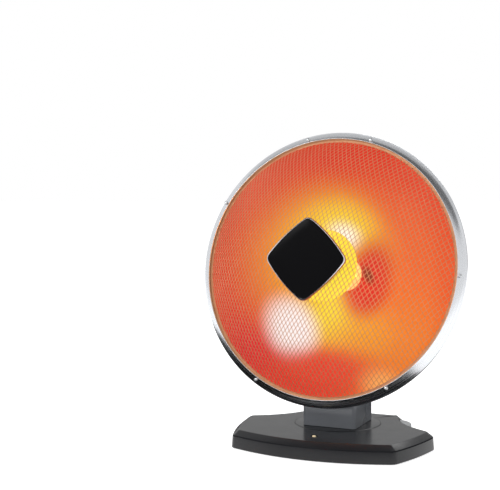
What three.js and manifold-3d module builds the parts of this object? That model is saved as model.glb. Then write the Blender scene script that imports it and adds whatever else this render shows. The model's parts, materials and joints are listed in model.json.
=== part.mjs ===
// A free-standing parabolic dish heater, in millimetres, +Z up, its front facing -Y.
// The stand is drawn about the swivel axis. The dish is drawn about its own axis, which runs along Y,
// and is then leaned back on the tilt bolt at the top of the neck.
import * as THREE from 'three';
import { mergeVertices } from 'three/addons/utils/BufferGeometryUtils.js';
import Module from 'manifold-3d';

const wasm = await Module();
wasm.setup();

// ---------------------------------------------------------------- driving dimensions
// Clearances
const gap = 0.3; // between pieces that seat on each other, and around a shank in its hole

// Where the stand's swivel axis lies, behind the middle of the heater's footprint
const swivelAxisY = 21.15;

// Base plan: half widths and places of the corners of one side, and how far each edge bows out
const frontHalfWidth = 108;
const frontCornerY = -98;
const sideHalfWidth = 132.5;
const sideCornerY = 1;
const rearHalfWidth = 65.5;
const rearCornerY = 80;
const frontBow = 23;
const sideBow = 4;
const flankHollow = 13;
const frontCornerReach = 5; // how far from each corner its rounding starts
const sideCornerReach = 13;
const rearCornerReach = 6;

// Base heights and walls
const footHeight = 1.2;
const footRadius = 9;
const footStemRadius = 3;
const plateThickness = 2;
const shellWall = 2.6;
const edgeStartZ = 16.5; // where the wall ends and the bevelled edge begins
const wallDraft = 1.2; // how far the wall leans in
const edgeInset = 9.5; // how far the bevelled edge reaches in
const baseTopZ = 23.2;

// Turntable
const turntableRadius = 56;
const turntableHubRadius = 29.4;
const turntableBoreRadius = 9;
const turntableTopZ = 23.7;
const recessDepth = 1.9;
const retainerRadius = 36;
const retainerThickness = 2.5;
const swivelLimit = 45; // degrees each way
const stopRibHalfWidth = 4;
const stopEarHalfWidth = 3;
const stopReach = 10; // how far the ears stand out from the retaining ring

// Neck
const neckWidth = 72;
const neckDepth = 69;
const neckCornerRadius = 4.5;
const neckWall = 2.5;
const frontShoulderZ = 58;
const rearShoulderZ = 66;
const earRadius = 15;
const slotFloorZ = 66;
const frameThickness = 2.5;
const frameFrontY = -20;
const frameRearY = 24;
const frameRootY = -16; // where the uprights' front edges start
const frameScrewX = 16;
const frameScrewY = -8;
const coverBossX = 15;
const coverBossZ = 46;
const coverBossRadius = 4.5;
const coverScrewLength = 17;

// Tilt bolt
const tiltPinY = 8;
const tiltPinZ = 86;
const tiltPinRadius = 4;
const dishTilt = 11.9; // degrees back from upright, as it stands
const washerThickness = 1.4;
const lugThickness = 3;
const lugRadius = 11;
const boltHeadLength = 4.2;
const hexRadius = 7;

// Dish
const rimRadius = 177.5; // outside of the bright ring
const bandWidth = 10.5; // the ring's visible face
const ringCrown = 3.6;
const ringSkirt = 9.5; // how far the ring's outer lip runs back
const ringWall = 1.6;
const hemThickness = 1.4;
const reflectorDepth = 70;
const reflectorWall = 0.8;
const housingDepth = 90;
const housingWall = 0.9;
const hubCapRadius = 42.5;
const hubCapHeight = 9;
const bracketFromRim = 57.2; // the bracket's middle, in from the housing's rim
const knuckleDrop = 23.3; // the tilt bolt's distance from the housing
const bracketThickness = 3;
const bracketOverhang = 4.5; // how far its pad reaches past the lugs
const bracketHalfLength = 20;

// Grille
const domeHeight = 76;
const netPitch = 33;
const netBar = 2.4;
const netSides = 36;

// Element
const coilLoops = 10;
const coilPitch = 7;
const coilRadius = 15;
const coilWireRadius = 1.1;
const corePlay = 0.5; // between the coil and the core inside it
const coreFrontY = -22;
const elementFlangeRadius = 22;
const elementFlangeThickness = 3;
const elementBodyRadius = 15.6;
const elementBodyLength = 14;
const rodRadius = 3;
const guardRadius = 46;
const guardDish = 5;
const guardSheet = 1;
const nutLength = 4;
const frontCapThickness = 2.5;
const cutoffRadius = 8.5;
const cutoffHeight = 8;
const cutoffPlace = 70; // its distance from the dish's axis

// Badge
const badgeHalfDiagonal = 52.8;
const badgeBow = 3.5; // how far each side bows out
const badgeDepth = 4.9;
const badgeWall = 2;
const badgeFloor = 2;
const badgeBossRadius = 5;
const clampThickness = 2;

// Fasteners
const screwRadius = 1.4;
const screwHeadRadius = 2.7;
const screwHeadHeight = 2;
const baseScrewHead = { radius: 2.6, height: 0.6 };
const baseScrewLength = 11;
const ringScrewAngles = [-2, 74, 103, 151, 240, 301]; // degrees, seen from the front

// Heat dial, tip-over plunger, lamp and cord inlet
const dialRadius = 24;
const dialProtrusion = 6.5;
const dialAlongFlank = 0.72; // share of the way from the side corner to the rear corner
const dialBottomZ = 11.5;
const dialThickness = 8.2;
const dialRidges = 20;
const dialShaftRadius = 4;
const plungerX = 40;
const plungerY = -62;
const plungerRadius = 4;
const plungerTravel = 4;
const lampY = -85.5;
const lampRadius = 2.4;
const inletX = -30;
const inletBoreRadius = 3.2;
const inletWall = 1.3;

// Parts inside the base
const controlLength = 26;
const controlWidth = 18;
const switchLength = 20;
const switchWidth = 10;
const terminalX = -56;
const terminalY = 30;
const terminalLength = 36;
const terminalWidth = 16;
const terminalHeight = 11;
const terminalPitch = 12;
const terminalWellRadius = 2.4;

// ---------------------------------------------------------------- materials
const glossBlack = { color: 0x17181a, roughness: 0.18, metalness: 0 };
const mattBlack = { color: 0x1b1c1e, roughness: 0.6, metalness: 0 };
const paintedSteel = { color: 0x202224, roughness: 0.45, metalness: 0.2 };
const satinChrome = { color: 0xd4d6d8, roughness: 0.22, metalness: 1 };
const plainSteel = { color: 0xa3a6a8, roughness: 0.35, metalness: 1 };
const mirrorAluminium = { color: 0xe6dccb, roughness: 0.12, metalness: 1 };
const ceramicWhite = { color: 0xe9e0cf, roughness: 0.7, metalness: 0 };
const glowingWire = { color: 0xff7a1c, roughness: 0.5, metalness: 0 };
const greyPlastic = { color: 0xb9bbbd, roughness: 0.45, metalness: 0 };
const rubberBlack = { color: 0x111111, roughness: 0.9, metalness: 0 };
const lampClear = { color: 0xf4f4ee, roughness: 0.15, metalness: 0 };

// ---------------------------------------------------------------- helpers
const radians = THREE.MathUtils.degToRad;

function piece(group, name, geometry, finish) {
  const mesh = new THREE.Mesh(geometry, new THREE.MeshStandardMaterial(finish));
  mesh.name = name;
  group.add(mesh);
}

// A closed mesh as a solid that can be joined and cut
function solidOf(geometry) {
  const bare = geometry.clone();
  bare.deleteAttribute('normal');
  bare.deleteAttribute('uv');
  const merged = mergeVertices(bare, 1e-4);
  const corners = merged.index.array;
  const kept = [];
  for (let i = 0; i < corners.length; i += 3) {
    const [a, b, c] = [corners[i], corners[i + 1], corners[i + 2]];
    if (a !== b && b !== c && c !== a) kept.push(a, b, c);
  }
  const vertProperties = new Float32Array(merged.attributes.position.array);
  const triVerts = new Uint32Array(kept);
  return new wasm.Manifold(new wasm.Mesh({ numProp: 3, vertProperties, triVerts }));
}

function geometryOf(solid) {
  const mesh = solid.getMesh();
  const geometry = new THREE.BufferGeometry();
  geometry.setAttribute('position', new THREE.BufferAttribute(new Float32Array(mesh.vertProperties), 3));
  geometry.setIndex(new THREE.BufferAttribute(new Uint32Array(mesh.triVerts), 1));
  geometry.computeVertexNormals();
  return geometry;
}

function join(first, ...others) {
  return geometryOf(others.reduce((whole, other) => whole.add(solidOf(other)), solidOf(first)));
}

function cut(first, ...others) {
  return geometryOf(others.reduce((whole, other) => whole.subtract(solidOf(other)), solidOf(first)));
}

function common(first, ...others) {
  return geometryOf(others.reduce((whole, other) => whole.intersect(solidOf(other)), solidOf(first)));
}

function box([x0, x1], [y0, y1], [z0, z1]) {
  const geometry = new THREE.BoxGeometry(x1 - x0, y1 - y0, z1 - z0);
  return geometry.translate((x0 + x1) / 2, (y0 + y1) / 2, (z0 + z1) / 2);
}

function cylinderX(radius, [x0, x1], y, z, sides = 20) {
  const geometry = new THREE.CylinderGeometry(radius, radius, x1 - x0, sides);
  return geometry.rotateZ(-Math.PI / 2).translate((x0 + x1) / 2, y, z);
}

function cylinderY(radius, [y0, y1], x, z, sides = 20) {
  const geometry = new THREE.CylinderGeometry(radius, radius, y1 - y0, sides);
  return geometry.translate(x, (y0 + y1) / 2, z);
}

function cylinderZ(radius, [z0, z1], x, y, sides = 20) {
  const geometry = new THREE.CylinderGeometry(radius, radius, z1 - z0, sides);
  return geometry.rotateX(Math.PI / 2).translate(x, y, (z0 + z1) / 2);
}

// A body of revolution about Y from [radius, y] points, open at the axis or closed on itself
function revolveY(profile, segments) {
  const points = profile.map(([radius, y]) => new THREE.Vector2(radius, y));
  if (THREE.ShapeUtils.isClockWise(points)) points.reverse();
  const onAxis = points[0].x === 0 && points.at(-1).x === 0;
  if (!onAxis) points.push(points[0].clone());
  return new THREE.LatheGeometry(points, segments);
}

function revolveZ(profile, segments) {
  return revolveY(profile, segments).rotateX(Math.PI / 2);
}

// Straight extrusions of a closed outline: up Z from [x, y] points, or along X from [y, z] points
function prismZ(outline, [z0, z1]) {
  const options = { depth: z1 - z0, bevelEnabled: false };
  return new THREE.ExtrudeGeometry(new THREE.Shape(outline), options).translate(0, 0, z0);
}

function prismX(outline, [x0, x1]) {
  const geometry = prismZ(outline, [x0, x1]);
  const [x, y, z] = [new THREE.Vector3(1, 0, 0), new THREE.Vector3(0, 1, 0), new THREE.Vector3(0, 0, 1)];
  return geometry.applyMatrix4(new THREE.Matrix4().makeBasis(y, z, x));
}

// An outline in [x, z] points, made solid from y0 back to y1
function prismY(outline, [y0, y1]) {
  return prismZ(outline, [0, y1 - y0]).rotateX(Math.PI / 2).translate(0, y1, 0);
}

// A closed skin through rings of points, each ring counter-clockwise seen from the last one's side
function skin(rings, capTriangles) {
  const count = rings[0].length;
  const last = (rings.length - 1) * count;
  const corners = [];
  for (let ring = 0; ring < rings.length - 1; ring += 1) {
    for (let i = 0; i < count; i += 1) {
      const a = ring * count + i;
      const b = ring * count + ((i + 1) % count);
      corners.push(a, b, b + count, a, b + count, a + count);
    }
  }
  for (const [a, b, c] of capTriangles) {
    corners.push(a, c, b, last + a, last + b, last + c);
  }
  const geometry = new THREE.BufferGeometry().setFromPoints(rings.flat());
  geometry.setIndex(corners);
  geometry.computeVertexNormals();
  return geometry;
}

function hexagon(radius) {
  return polygon(radius, 6);
}

function polygon(radius, sides, centre = [0, 0], turn = 0) {
  return Array.from({ length: sides }, (_, i) => {
    const angle = turn + (i / sides) * 2 * Math.PI;
    return new THREE.Vector2(centre[0] + radius * Math.cos(angle), centre[1] + radius * Math.sin(angle));
  });
}

// A round-headed screw along Z with its seat at z = 0, the head above it and the shank below
function screw(shankLength, head = { radius: screwHeadRadius, height: screwHeadHeight }) {
  const profile = [
    [0, -shankLength],
    [screwRadius, -shankLength],
    [screwRadius, 0],
    [head.radius, 0],
    [head.radius * 0.9, head.height * 0.7],
    [0, head.height],
  ];
  return revolveZ(profile, 8);
}

// ---------------------------------------------------------------- base outline
// An edge from one corner to the next that bows out by `bow`, or in where it is negative
function bowedEdge(from, to, bow) {
  const along = to.clone().sub(from).normalize();
  const outward = new THREE.Vector2(along.y, -along.x);
  const middle = from.clone().add(to).multiplyScalar(0.5).addScaledVector(outward, 2 * bow);
  return new THREE.QuadraticBezierCurve(from, middle, to);
}

// The base's plan, counter-clockwise from above, drawn in by `inset`
function baseOutline(inset) {
  const corners = [
    [frontHalfWidth, frontCornerY, sideBow, frontCornerReach],
    [sideHalfWidth, sideCornerY, -flankHollow, sideCornerReach],
    [rearHalfWidth, rearCornerY, 0, rearCornerReach],
    [-rearHalfWidth, rearCornerY, -flankHollow, rearCornerReach],
    [-sideHalfWidth, sideCornerY, sideBow, sideCornerReach],
    [-frontHalfWidth, frontCornerY, frontBow, frontCornerReach],
  ];
  const places = corners.map(([x, y]) => new THREE.Vector2(x, y));
  const count = places.length;
  const edges = places.map((place, i) => bowedEdge(place, places[(i + 1) % count], corners[i][2]));
  const cornerSteps = 3;
  const points = [];
  for (let i = 0; i < count; i += 1) {
    const before = edges[(i + count - 1) % count];
    const after = edges[i];
    const reach = corners[i][3];
    const nextReach = corners[(i + 1) % count][3];
    const arrive = 1 - reach / before.getLength();
    const leave = reach / after.getLength();
    const edgeEnd = 1 - nextReach / after.getLength();
    const round = new THREE.QuadraticBezierCurve(before.getPoint(arrive), places[i], after.getPoint(leave));
    points.push(...round.getPoints(cornerSteps));
    const edgeSteps = 2 + Math.round(Math.abs(corners[i][2]) / 6);
    for (let step = 1; step < edgeSteps; step += 1) {
      points.push(after.getPoint(leave + (step / edgeSteps) * (edgeEnd - leave)));
    }
  }
  return points.map((point, i) => {
    const next = points[(i + 1) % points.length];
    const previous = points[(i + points.length - 1) % points.length];
    const along = next.clone().sub(previous).normalize();
    return new THREE.Vector2(point.x - along.y * inset, point.y + along.x * inset);
  });
}

// A body on the base's plan through [inset, z] levels
function baseBody(levels) {
  const rings = levels.map(([inset, z]) => baseOutline(inset).map((p) => new THREE.Vector3(p.x, p.y, z)));
  const flat = baseOutline(levels[0][0]);
  return skin(rings, THREE.ShapeUtils.triangulateShape(flat, []));
}

// ---------------------------------------------------------------- places shared by several pieces
const plateBottomZ = footHeight;
const plateTopZ = plateBottomZ + plateThickness;
const floorZ = plateTopZ + gap; // where inner pieces stand
const ceilingZ = baseTopZ - shellWall;
const recessZ = baseTopZ - recessDepth;
const ledgeZ = recessZ - shellWall; // underside of the ledge that carries the turntable
const retainerTopZ = ledgeZ - gap;
const retainerBottomZ = retainerTopZ - retainerThickness;
const neckFootZ = turntableTopZ + gap;
const inletZ = (floorZ + edgeStartZ) / 2;
const inletBodyRadius = inletBoreRadius + inletWall;
const pinHoleRadius = tiltPinRadius + gap;
const screwHoleRadius = screwRadius + gap;

const bossRadius = 4.5;
const bossFrontX = frontHalfWidth - 24;
const bossFrontY = frontCornerY + 14;
const bossRearX = rearHalfWidth - 21.5;
const bossRearY = rearCornerY - 11;
const bossPlaces = [
  [bossFrontX, bossFrontY],
  [-bossFrontX, bossFrontY],
  [-bossRearX, bossRearY],
  [bossRearX, bossRearY],
];
const footFrontX = frontHalfWidth - 10;
const footFrontY = frontCornerY + 24;
const footRearX = rearHalfWidth - 9.5;
const footRearY = rearCornerY - 20;
const footPlaces = {
  front_left: [-footFrontX, footFrontY],
  front_right: [footFrontX, footFrontY],
  rear_left: [-footRearX, footRearY],
  rear_right: [footRearX, footRearY],
};
const frameScrewPlaces = [[-frameScrewX, frameScrewY], [frameScrewX, frameScrewY]];

// How far the base's wall leans in at a height
function wallLean(z) {
  return (wallDraft * (z - plateBottomZ)) / (edgeStartZ - plateBottomZ);
}

// The heat dial's centre, inside the right flank
function dialPlace() {
  const from = new THREE.Vector2(sideHalfWidth, sideCornerY);
  const to = new THREE.Vector2(rearHalfWidth, rearCornerY);
  const onEdge = bowedEdge(from, to, -flankHollow).getPoint(dialAlongFlank);
  const along = to.clone().sub(from).normalize();
  const inward = new THREE.Vector2(-along.y, along.x);
  return onEdge.addScaledVector(inward, dialRadius - dialProtrusion);
}
const dialCentre = dialPlace();
const dialTurn = Math.atan2(rearCornerY - sideCornerY, rearHalfWidth - sideHalfWidth);

// ---------------------------------------------------------------- base pieces
function baseTopShell() {
  const bevelMiddle = wallDraft + (edgeInset - wallDraft) * 0.45;
  const outer = baseBody([
    [0, plateBottomZ],
    [wallDraft, edgeStartZ],
    [bevelMiddle, edgeStartZ + (baseTopZ - edgeStartZ) * 0.6],
    [edgeInset, baseTopZ],
  ]);
  const hollow = baseBody([
    [shellWall, plateBottomZ - 1],
    [shellWall + wallDraft, edgeStartZ],
    [edgeInset * 0.85, ceilingZ],
  ]);
  const bosses = bossPlaces.map(([x, y]) => cylinderZ(bossRadius, [floorZ, ceilingZ + 1], x, y, 8));
  const ledge = cylinderZ(turntableRadius + gap + shellWall, [ledgeZ, baseTopZ - 0.01], 0, 0, 32);
  const rib = box([-stopRibHalfWidth, stopRibHalfWidth], stopRibSpan(), [retainerBottomZ, ledgeZ + 1]);
  const recess = cylinderZ(turntableRadius + gap, [recessZ, baseTopZ + 1], 0, 0, 32);
  const hubHole = cylinderZ(turntableHubRadius + gap, [0, baseTopZ], 0, 0, 32);
  const bossHoles = bossPlaces.map(([x, y]) => cylinderZ(screwHoleRadius, [0, edgeStartZ], x, y, 8));
  const lampRecess = cylinderZ(lampRadius * 2, [baseTopZ - 0.6, baseTopZ + 1], 0, lampY, 12);
  const lampHole = cylinderZ(lampRadius + gap, [ceilingZ - 1, baseTopZ + 1], 0, lampY, 12);
  const dialSlotZ = [dialBottomZ - gap, dialBottomZ + dialThickness + gap];
  const dialSlot = cylinderZ(dialRadius + 3 * gap, dialSlotZ, dialCentre.x, dialCentre.y, 28);
  const inletSpan = [rearCornerY - 2 * shellWall, rearCornerY + shellWall];
  const inletHole = cylinderY(inletBodyRadius + gap, inletSpan, inletX, inletZ, 20);
  const shell = join(cut(outer, hollow), ledge, rib, ...bosses);
  return cut(shell, recess, hubHole, ...bossHoles, lampRecess, lampHole, dialSlot, inletHole);
}

// The stop rib stands just outside the retaining ring, at the rear
function stopRibSpan() {
  return [retainerRadius + 1, retainerRadius + stopReach];
}

function baseBottomPlate() {
  const inset = shellWall + 2 * gap;
  const plate = baseBody([[inset, plateBottomZ], [inset, plateTopZ]]);
  const through = [plateBottomZ - 1, plateTopZ + 1];
  const screwHoles = bossPlaces.map(([x, y]) => cylinderZ(screwHoleRadius, through, x, y, 8));
  const footHole = footStemRadius + gap;
  const footHoles = Object.values(footPlaces).map(([x, y]) => cylinderZ(footHole, through, x, y, 8));
  const plungerHole = cylinderZ(plungerRadius + gap, through, plungerX, plungerY, 12);
  return cut(plate, ...screwHoles, ...footHoles, plungerHole);
}

function rubberFoot() {
  const padTopZ = plateBottomZ - gap;
  const stemTopZ = plateTopZ + gap;
  const profile = [
    [0, 0],
    [footRadius, 0],
    [footRadius, padTopZ],
    [footStemRadius, padTopZ],
    [footStemRadius, stemTopZ],
    [footStemRadius + 0.9, stemTopZ + 0.4],
    [0, stemTopZ + 2.4],
  ];
  return revolveZ(profile, 12);
}

function baseScrew() {
  return screw(baseScrewLength, baseScrewHead).rotateX(Math.PI).translate(0, 0, plateBottomZ - gap);
}

function lampLens() {
  const flangeTopZ = ceilingZ - gap;
  const profile = [
    [0, flangeTopZ - 2.5],
    [lampRadius + 2, flangeTopZ - 2.5],
    [lampRadius + 2, flangeTopZ],
    [lampRadius, flangeTopZ],
    [lampRadius, baseTopZ - 0.2],
    [lampRadius * 0.75, baseTopZ + 0.6],
    [lampRadius * 0.35, baseTopZ + 1],
    [0, baseTopZ + 1.1],
  ];
  return revolveZ(profile, 12).translate(0, lampY, 0);
}

function terminalBlock() {
  const xs = [terminalX - terminalLength / 2, terminalX + terminalLength / 2];
  const ys = [terminalY - terminalWidth / 2, terminalY + terminalWidth / 2];
  const topZ = floorZ + terminalHeight;
  const wells = [-1, 0, 1].map((step) => {
    const x = terminalX + step * terminalPitch;
    return cylinderZ(terminalWellRadius, [topZ - terminalHeight / 2, topZ + 1], x, terminalY, 10);
  });
  return cut(box(xs, ys, [floorZ, topZ]), ...wells);
}

function cordInletBushing() {
  const flange = inletBodyRadius + 1.6;
  const wallOuterY = rearCornerY - wallLean(inletZ - flange);
  const wallInnerY = rearCornerY - shellWall - wallLean(inletZ + flange);
  const profile = [
    [inletBoreRadius, wallInnerY - 3.2],
    [inletBodyRadius + 0.8, wallInnerY - 3.2],
    [inletBodyRadius + 0.8, wallInnerY - gap],
    [inletBodyRadius, wallInnerY - gap],
    [inletBodyRadius, wallOuterY + gap],
    [flange, wallOuterY + gap],
    [flange, wallOuterY + 1.6],
    [flange - 1.2, wallOuterY + 2.8],
    [inletBoreRadius, wallOuterY + 2.8],
  ];
  return revolveY(profile, 12).translate(inletX, 0, inletZ);
}

// ---------------------------------------------------------------- heat dial and its control
function heatControlBody() {
  const xs = [-controlLength / 2, controlLength / 2];
  const ys = [-controlWidth / 2, controlWidth / 2];
  const body = box(xs, ys, [floorZ, dialBottomZ - gap]);
  const bore = cylinderZ(dialShaftRadius + gap, [floorZ + 1, dialBottomZ], 0, 0, 16);
  return cut(body, bore).rotateZ(dialTurn).translate(dialCentre.x, dialCentre.y, 0);
}

function heatDialWheel() {
  const outline = Array.from({ length: dialRidges * 2 }, (_, i) => {
    const radius = i % 2 ? dialRadius : dialRadius - 1;
    const angle = (i / (dialRidges * 2)) * 2 * Math.PI;
    return new THREE.Vector2(radius * Math.cos(angle), radius * Math.sin(angle));
  });
  const wheel = prismZ(outline, [dialBottomZ, dialBottomZ + dialThickness]);
  const shaft = cylinderZ(dialShaftRadius, [floorZ + 1 + gap, dialBottomZ + 1], 0, 0, 16);
  return join(wheel, shaft).translate(dialCentre.x, dialCentre.y, 0);
}

// ---------------------------------------------------------------- tip-over plunger and its switch
// The flange comes to rest on the bottom plate when the plunger has dropped by its whole travel
const plungerFlangeZ = floorZ + plungerTravel;
const plungerTopZ = plungerFlangeZ + 4.5;

function tipPlunger() {
  const profile = [
    [0, gap],
    [plungerRadius - 1, gap],
    [plungerRadius, gap + 1],
    [plungerRadius, plungerFlangeZ],
    [plungerRadius + 2, plungerFlangeZ],
    [plungerRadius + 2, plungerFlangeZ + 1.4],
    [plungerRadius - 1.6, plungerFlangeZ + 1.4],
    [plungerRadius - 1.6, plungerTopZ],
    [0, plungerTopZ],
  ];
  return revolveZ(profile, 12).translate(plungerX, plungerY, 0);
}

function tipSwitchBody() {
  const xs = [plungerX - switchLength / 2, plungerX + switchLength / 2];
  const ys = [plungerY - switchWidth / 2, plungerY + switchWidth / 2];
  return box(xs, ys, [plungerTopZ + gap, ceilingZ - gap]);
}

// ---------------------------------------------------------------- turntable
function turntableDisc() {
  const profile = [
    [turntableBoreRadius, ledgeZ],
    [turntableHubRadius, ledgeZ],
    [turntableHubRadius, recessZ + gap],
    [turntableRadius, recessZ + gap],
    [turntableRadius - 0.8, turntableTopZ],
    [turntableBoreRadius, turntableTopZ],
  ];
  const through = [ledgeZ - 1, turntableTopZ + 1];
  const holes = frameScrewPlaces.map(([x, y]) => cylinderZ(screwHoleRadius, through, x, y, 10));
  return cut(revolveZ(profile, 32), ...holes);
}

// Its two ears meet the base's stop rib at the ends of the swivel
function turntableRetainingRing() {
  const span = [retainerBottomZ, retainerTopZ];
  const ring = cylinderZ(retainerRadius, span, 0, 0, 28);
  const [ribInner] = stopRibSpan();
  const apart = Math.atan((stopRibHalfWidth + stopEarHalfWidth + 2 * gap) / ribInner);
  const ears = [-1, 1].map((side) => {
    const ear = box([0, retainerRadius + stopReach - 1], [-stopEarHalfWidth, stopEarHalfWidth], span);
    return ear.rotateZ(Math.PI / 2 + side * (radians(swivelLimit) + apart));
  });
  const bore = cylinderZ(turntableBoreRadius, [0, baseTopZ], 0, 0, 16);
  const holes = frameScrewPlaces.map(([x, y]) => cylinderZ(screwHoleRadius, [0, baseTopZ], x, y, 10));
  return cut(join(ring, ...ears), bore, ...holes);
}

// ---------------------------------------------------------------- neck
// Where a straight line from a point touches a circle, to the left of the line or to its right
function tangentAngle(point, centre, radius, side) {
  const away = point.clone().sub(centre);
  return Math.atan2(away.y, away.x) + side * Math.acos(radius / away.length());
}

// The neck seen from the side, as [y, z] points drawn in by `inset`: shoulders under a round ear
function neckProfile(inset, bottomZ) {
  const centre = new THREE.Vector2(tiltPinY, tiltPinZ);
  const radius = earRadius - inset;
  const front = new THREE.Vector2(-neckDepth / 2 + inset, frontShoulderZ - inset);
  const rear = new THREE.Vector2(neckDepth / 2 - inset, rearShoulderZ - inset);
  const start = tangentAngle(rear, centre, radius, 1);
  const end = tangentAngle(front, centre, radius, -1) + 2 * Math.PI;
  const steps = 8;
  const arc = Array.from({ length: steps + 1 }, (_, i) => {
    const angle = start + (i / steps) * (end - start);
    return new THREE.Vector2(centre.x + radius * Math.cos(angle), centre.y + radius * Math.sin(angle));
  });
  const low = [new THREE.Vector2(front.x, bottomZ), new THREE.Vector2(rear.x, bottomZ)];
  return [...low, rear, ...arc, front];
}

// The neck seen from above: a rectangle with round corners, drawn in by `inset`
function neckPlan(inset) {
  const [halfX, halfY] = [neckWidth / 2 - inset, neckDepth / 2 - inset];
  const radius = neckCornerRadius - inset;
  const shape = new THREE.Shape();
  shape.absarc(halfX - radius, -halfY + radius, radius, -Math.PI / 2, 0);
  shape.absarc(halfX - radius, halfY - radius, radius, 0, Math.PI / 2);
  shape.absarc(-halfX + radius, halfY - radius, radius, Math.PI / 2, Math.PI);
  shape.absarc(-halfX + radius, -halfY + radius, radius, Math.PI, 1.5 * Math.PI);
  return shape.getPoints(4);
}

function neckColumn(inset, bottomZ) {
  const column = prismZ(neckPlan(inset), [bottomZ, tiltPinZ + earRadius + 1]);
  return common(column, prismX(neckProfile(inset, bottomZ), [-neckWidth, neckWidth]));
}

// Room between the ears for the dish's bracket: what the walls, the frame and the bolt's ends leave
const boltRoom = boltHeadLength + frameThickness + 3 * gap;
const slotHalfWidth = neckWidth / 2 - 2 * neckWall - boltRoom;

function neckShell() {
  const tall = tiltPinZ + 2 * earRadius;
  const deep = [-neckDepth, neckDepth];
  const slot = box([-slotHalfWidth, slotHalfWidth], deep, [slotFloorZ, tall]);
  const wallX = slotHalfWidth + neckWall;
  const slotWalls = box([-wallX, wallX], deep, [slotFloorZ - neckWall, tall]);
  const hollow = cut(neckColumn(neckWall, neckFootZ - 1), slotWalls);
  const pinReach = neckWidth / 2 - neckWall;
  const pinHole = cylinderX(pinHoleRadius, [-pinReach, pinReach], tiltPinY, tiltPinZ, 20);
  return cut(neckColumn(0, neckFootZ), slot, hollow, pinHole);
}

const seamY = tiltPinY; // the covers part on the plane through the tilt bolt

// A cylinder along Y at each of the two places where the covers are screwed together
function atBothBosses(radius, span) {
  return [-1, 1].map((side) => cylinderY(radius, span, side * coverBossX, coverBossZ, 8));
}

function neckFrontCover(shell) {
  const half = common(shell, box([-neckWidth, neckWidth], [-neckDepth, seamY - gap / 2], [0, 2 * tiltPinZ]));
  const bosses = atBothBosses(coverBossRadius, [-neckDepth / 2 + 1, seamY - gap / 2]);
  const pilots = atBothBosses(screwHoleRadius, [seamY - 16, seamY + 1]);
  return cut(join(half, ...bosses), ...pilots);
}

const coverScrewSeatY = seamY + 5; // where a cover screw's head sits, deep in its boss
function neckRearCover(shell) {
  const half = common(shell, box([-neckWidth, neckWidth], [seamY + gap / 2, neckDepth], [0, 2 * tiltPinZ]));
  const bosses = atBothBosses(coverBossRadius, [seamY + gap / 2, neckDepth / 2 - 1]);
  const wells = atBothBosses(screwHeadRadius + gap, [coverScrewSeatY, neckDepth]);
  const holes = atBothBosses(screwHoleRadius, [seamY - 1, neckDepth]);
  return cut(join(half, ...bosses), ...wells, ...holes);
}

function coverScrew(side) {
  const turned = screw(coverScrewLength).rotateX(-Math.PI / 2);
  return turned.translate(side * coverBossX, coverScrewSeatY + gap, coverBossZ);
}

// Across the neck, from the middle out: lug, washer, the cover's inner wall, the frame, the bolt head
const lugX = slotHalfWidth - 2 * gap - washerThickness;
const washerX = lugX + gap;
const frameX = slotHalfWidth + neckWall + gap;
const boltHeadX = frameX + frameThickness + gap;

// From `inner` out by `thickness` to the right (side 1) or to the left (side -1)
function spanOf(side, inner, thickness) {
  const ends = [side * inner, side * (inner + thickness)];
  return ends.sort((a, b) => a - b);
}

function neckFrame() {
  const footZ = [neckFootZ, neckFootZ + frameThickness];
  const foot = box([-frameX - 1, frameX + 1], [frameFrontY, frameRearY], footZ);
  const roots = [frameRootY, frameRearY].map((y) => new THREE.Vector2(y, footZ[0]));
  const upright = neckFrameSide(roots);
  const uprights = [-1, 1].map((side) => {
    return prismX(upright, spanOf(side, frameX, frameThickness));
  });
  const pinHole = cylinderX(pinHoleRadius, [-neckWidth, neckWidth], tiltPinY, tiltPinZ, 20);
  const wireHole = cylinderZ(turntableBoreRadius, [0, slotFloorZ], 0, 0, 16);
  const holes = frameScrewPlaces.map(([x, y]) => cylinderZ(screwHoleRadius, [0, slotFloorZ], x, y, 10));
  return cut(join(foot, ...uprights), pinHole, wireHole, ...holes);
}

// An upright's side view: from its two foot corners up to a round eye about the bolt
function neckFrameSide([front, rear]) {
  const eye = new THREE.Vector2(tiltPinY, tiltPinZ);
  const radius = earRadius - neckWall - 2;
  const start = tangentAngle(rear, eye, radius, 1);
  const end = tangentAngle(front, eye, radius, -1) + 2 * Math.PI;
  const arc = Array.from({ length: 8 }, (_, i) => {
    const angle = start + (i / 7) * (end - start);
    return new THREE.Vector2(eye.x + radius * Math.cos(angle), eye.y + radius * Math.sin(angle));
  });
  return [front, rear, ...arc];
}

// A long screw from the frame through the turntable into the retaining ring
function frameScrew() {
  const seatZ = neckFootZ + frameThickness + gap;
  return screw(seatZ - retainerBottomZ - gap).translate(0, 0, seatZ);
}

function tiltBolt() {
  const head = prismX(hexagon(hexRadius), [-boltHeadX - boltHeadLength, -boltHeadX]);
  const shank = cylinderX(tiltPinRadius, [-boltHeadX - 1, boltHeadX + boltHeadLength], 0, 0, 16);
  return join(head, shank).translate(0, tiltPinY, tiltPinZ);
}

function tiltNut() {
  const nut = prismX(hexagon(hexRadius), [boltHeadX, boltHeadX + boltHeadLength - 0.5]);
  const bore = cylinderX(pinHoleRadius, [0, neckWidth], 0, 0, 16);
  return cut(nut, bore).translate(0, tiltPinY, tiltPinZ);
}

function frictionWasher(side) {
  const span = spanOf(side, washerX, washerThickness);
  const washer = cylinderX(lugRadius - 1, span, tiltPinY, tiltPinZ, 14);
  return cut(washer, cylinderX(pinHoleRadius, [-neckWidth, neckWidth], tiltPinY, tiltPinZ, 12));
}

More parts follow.
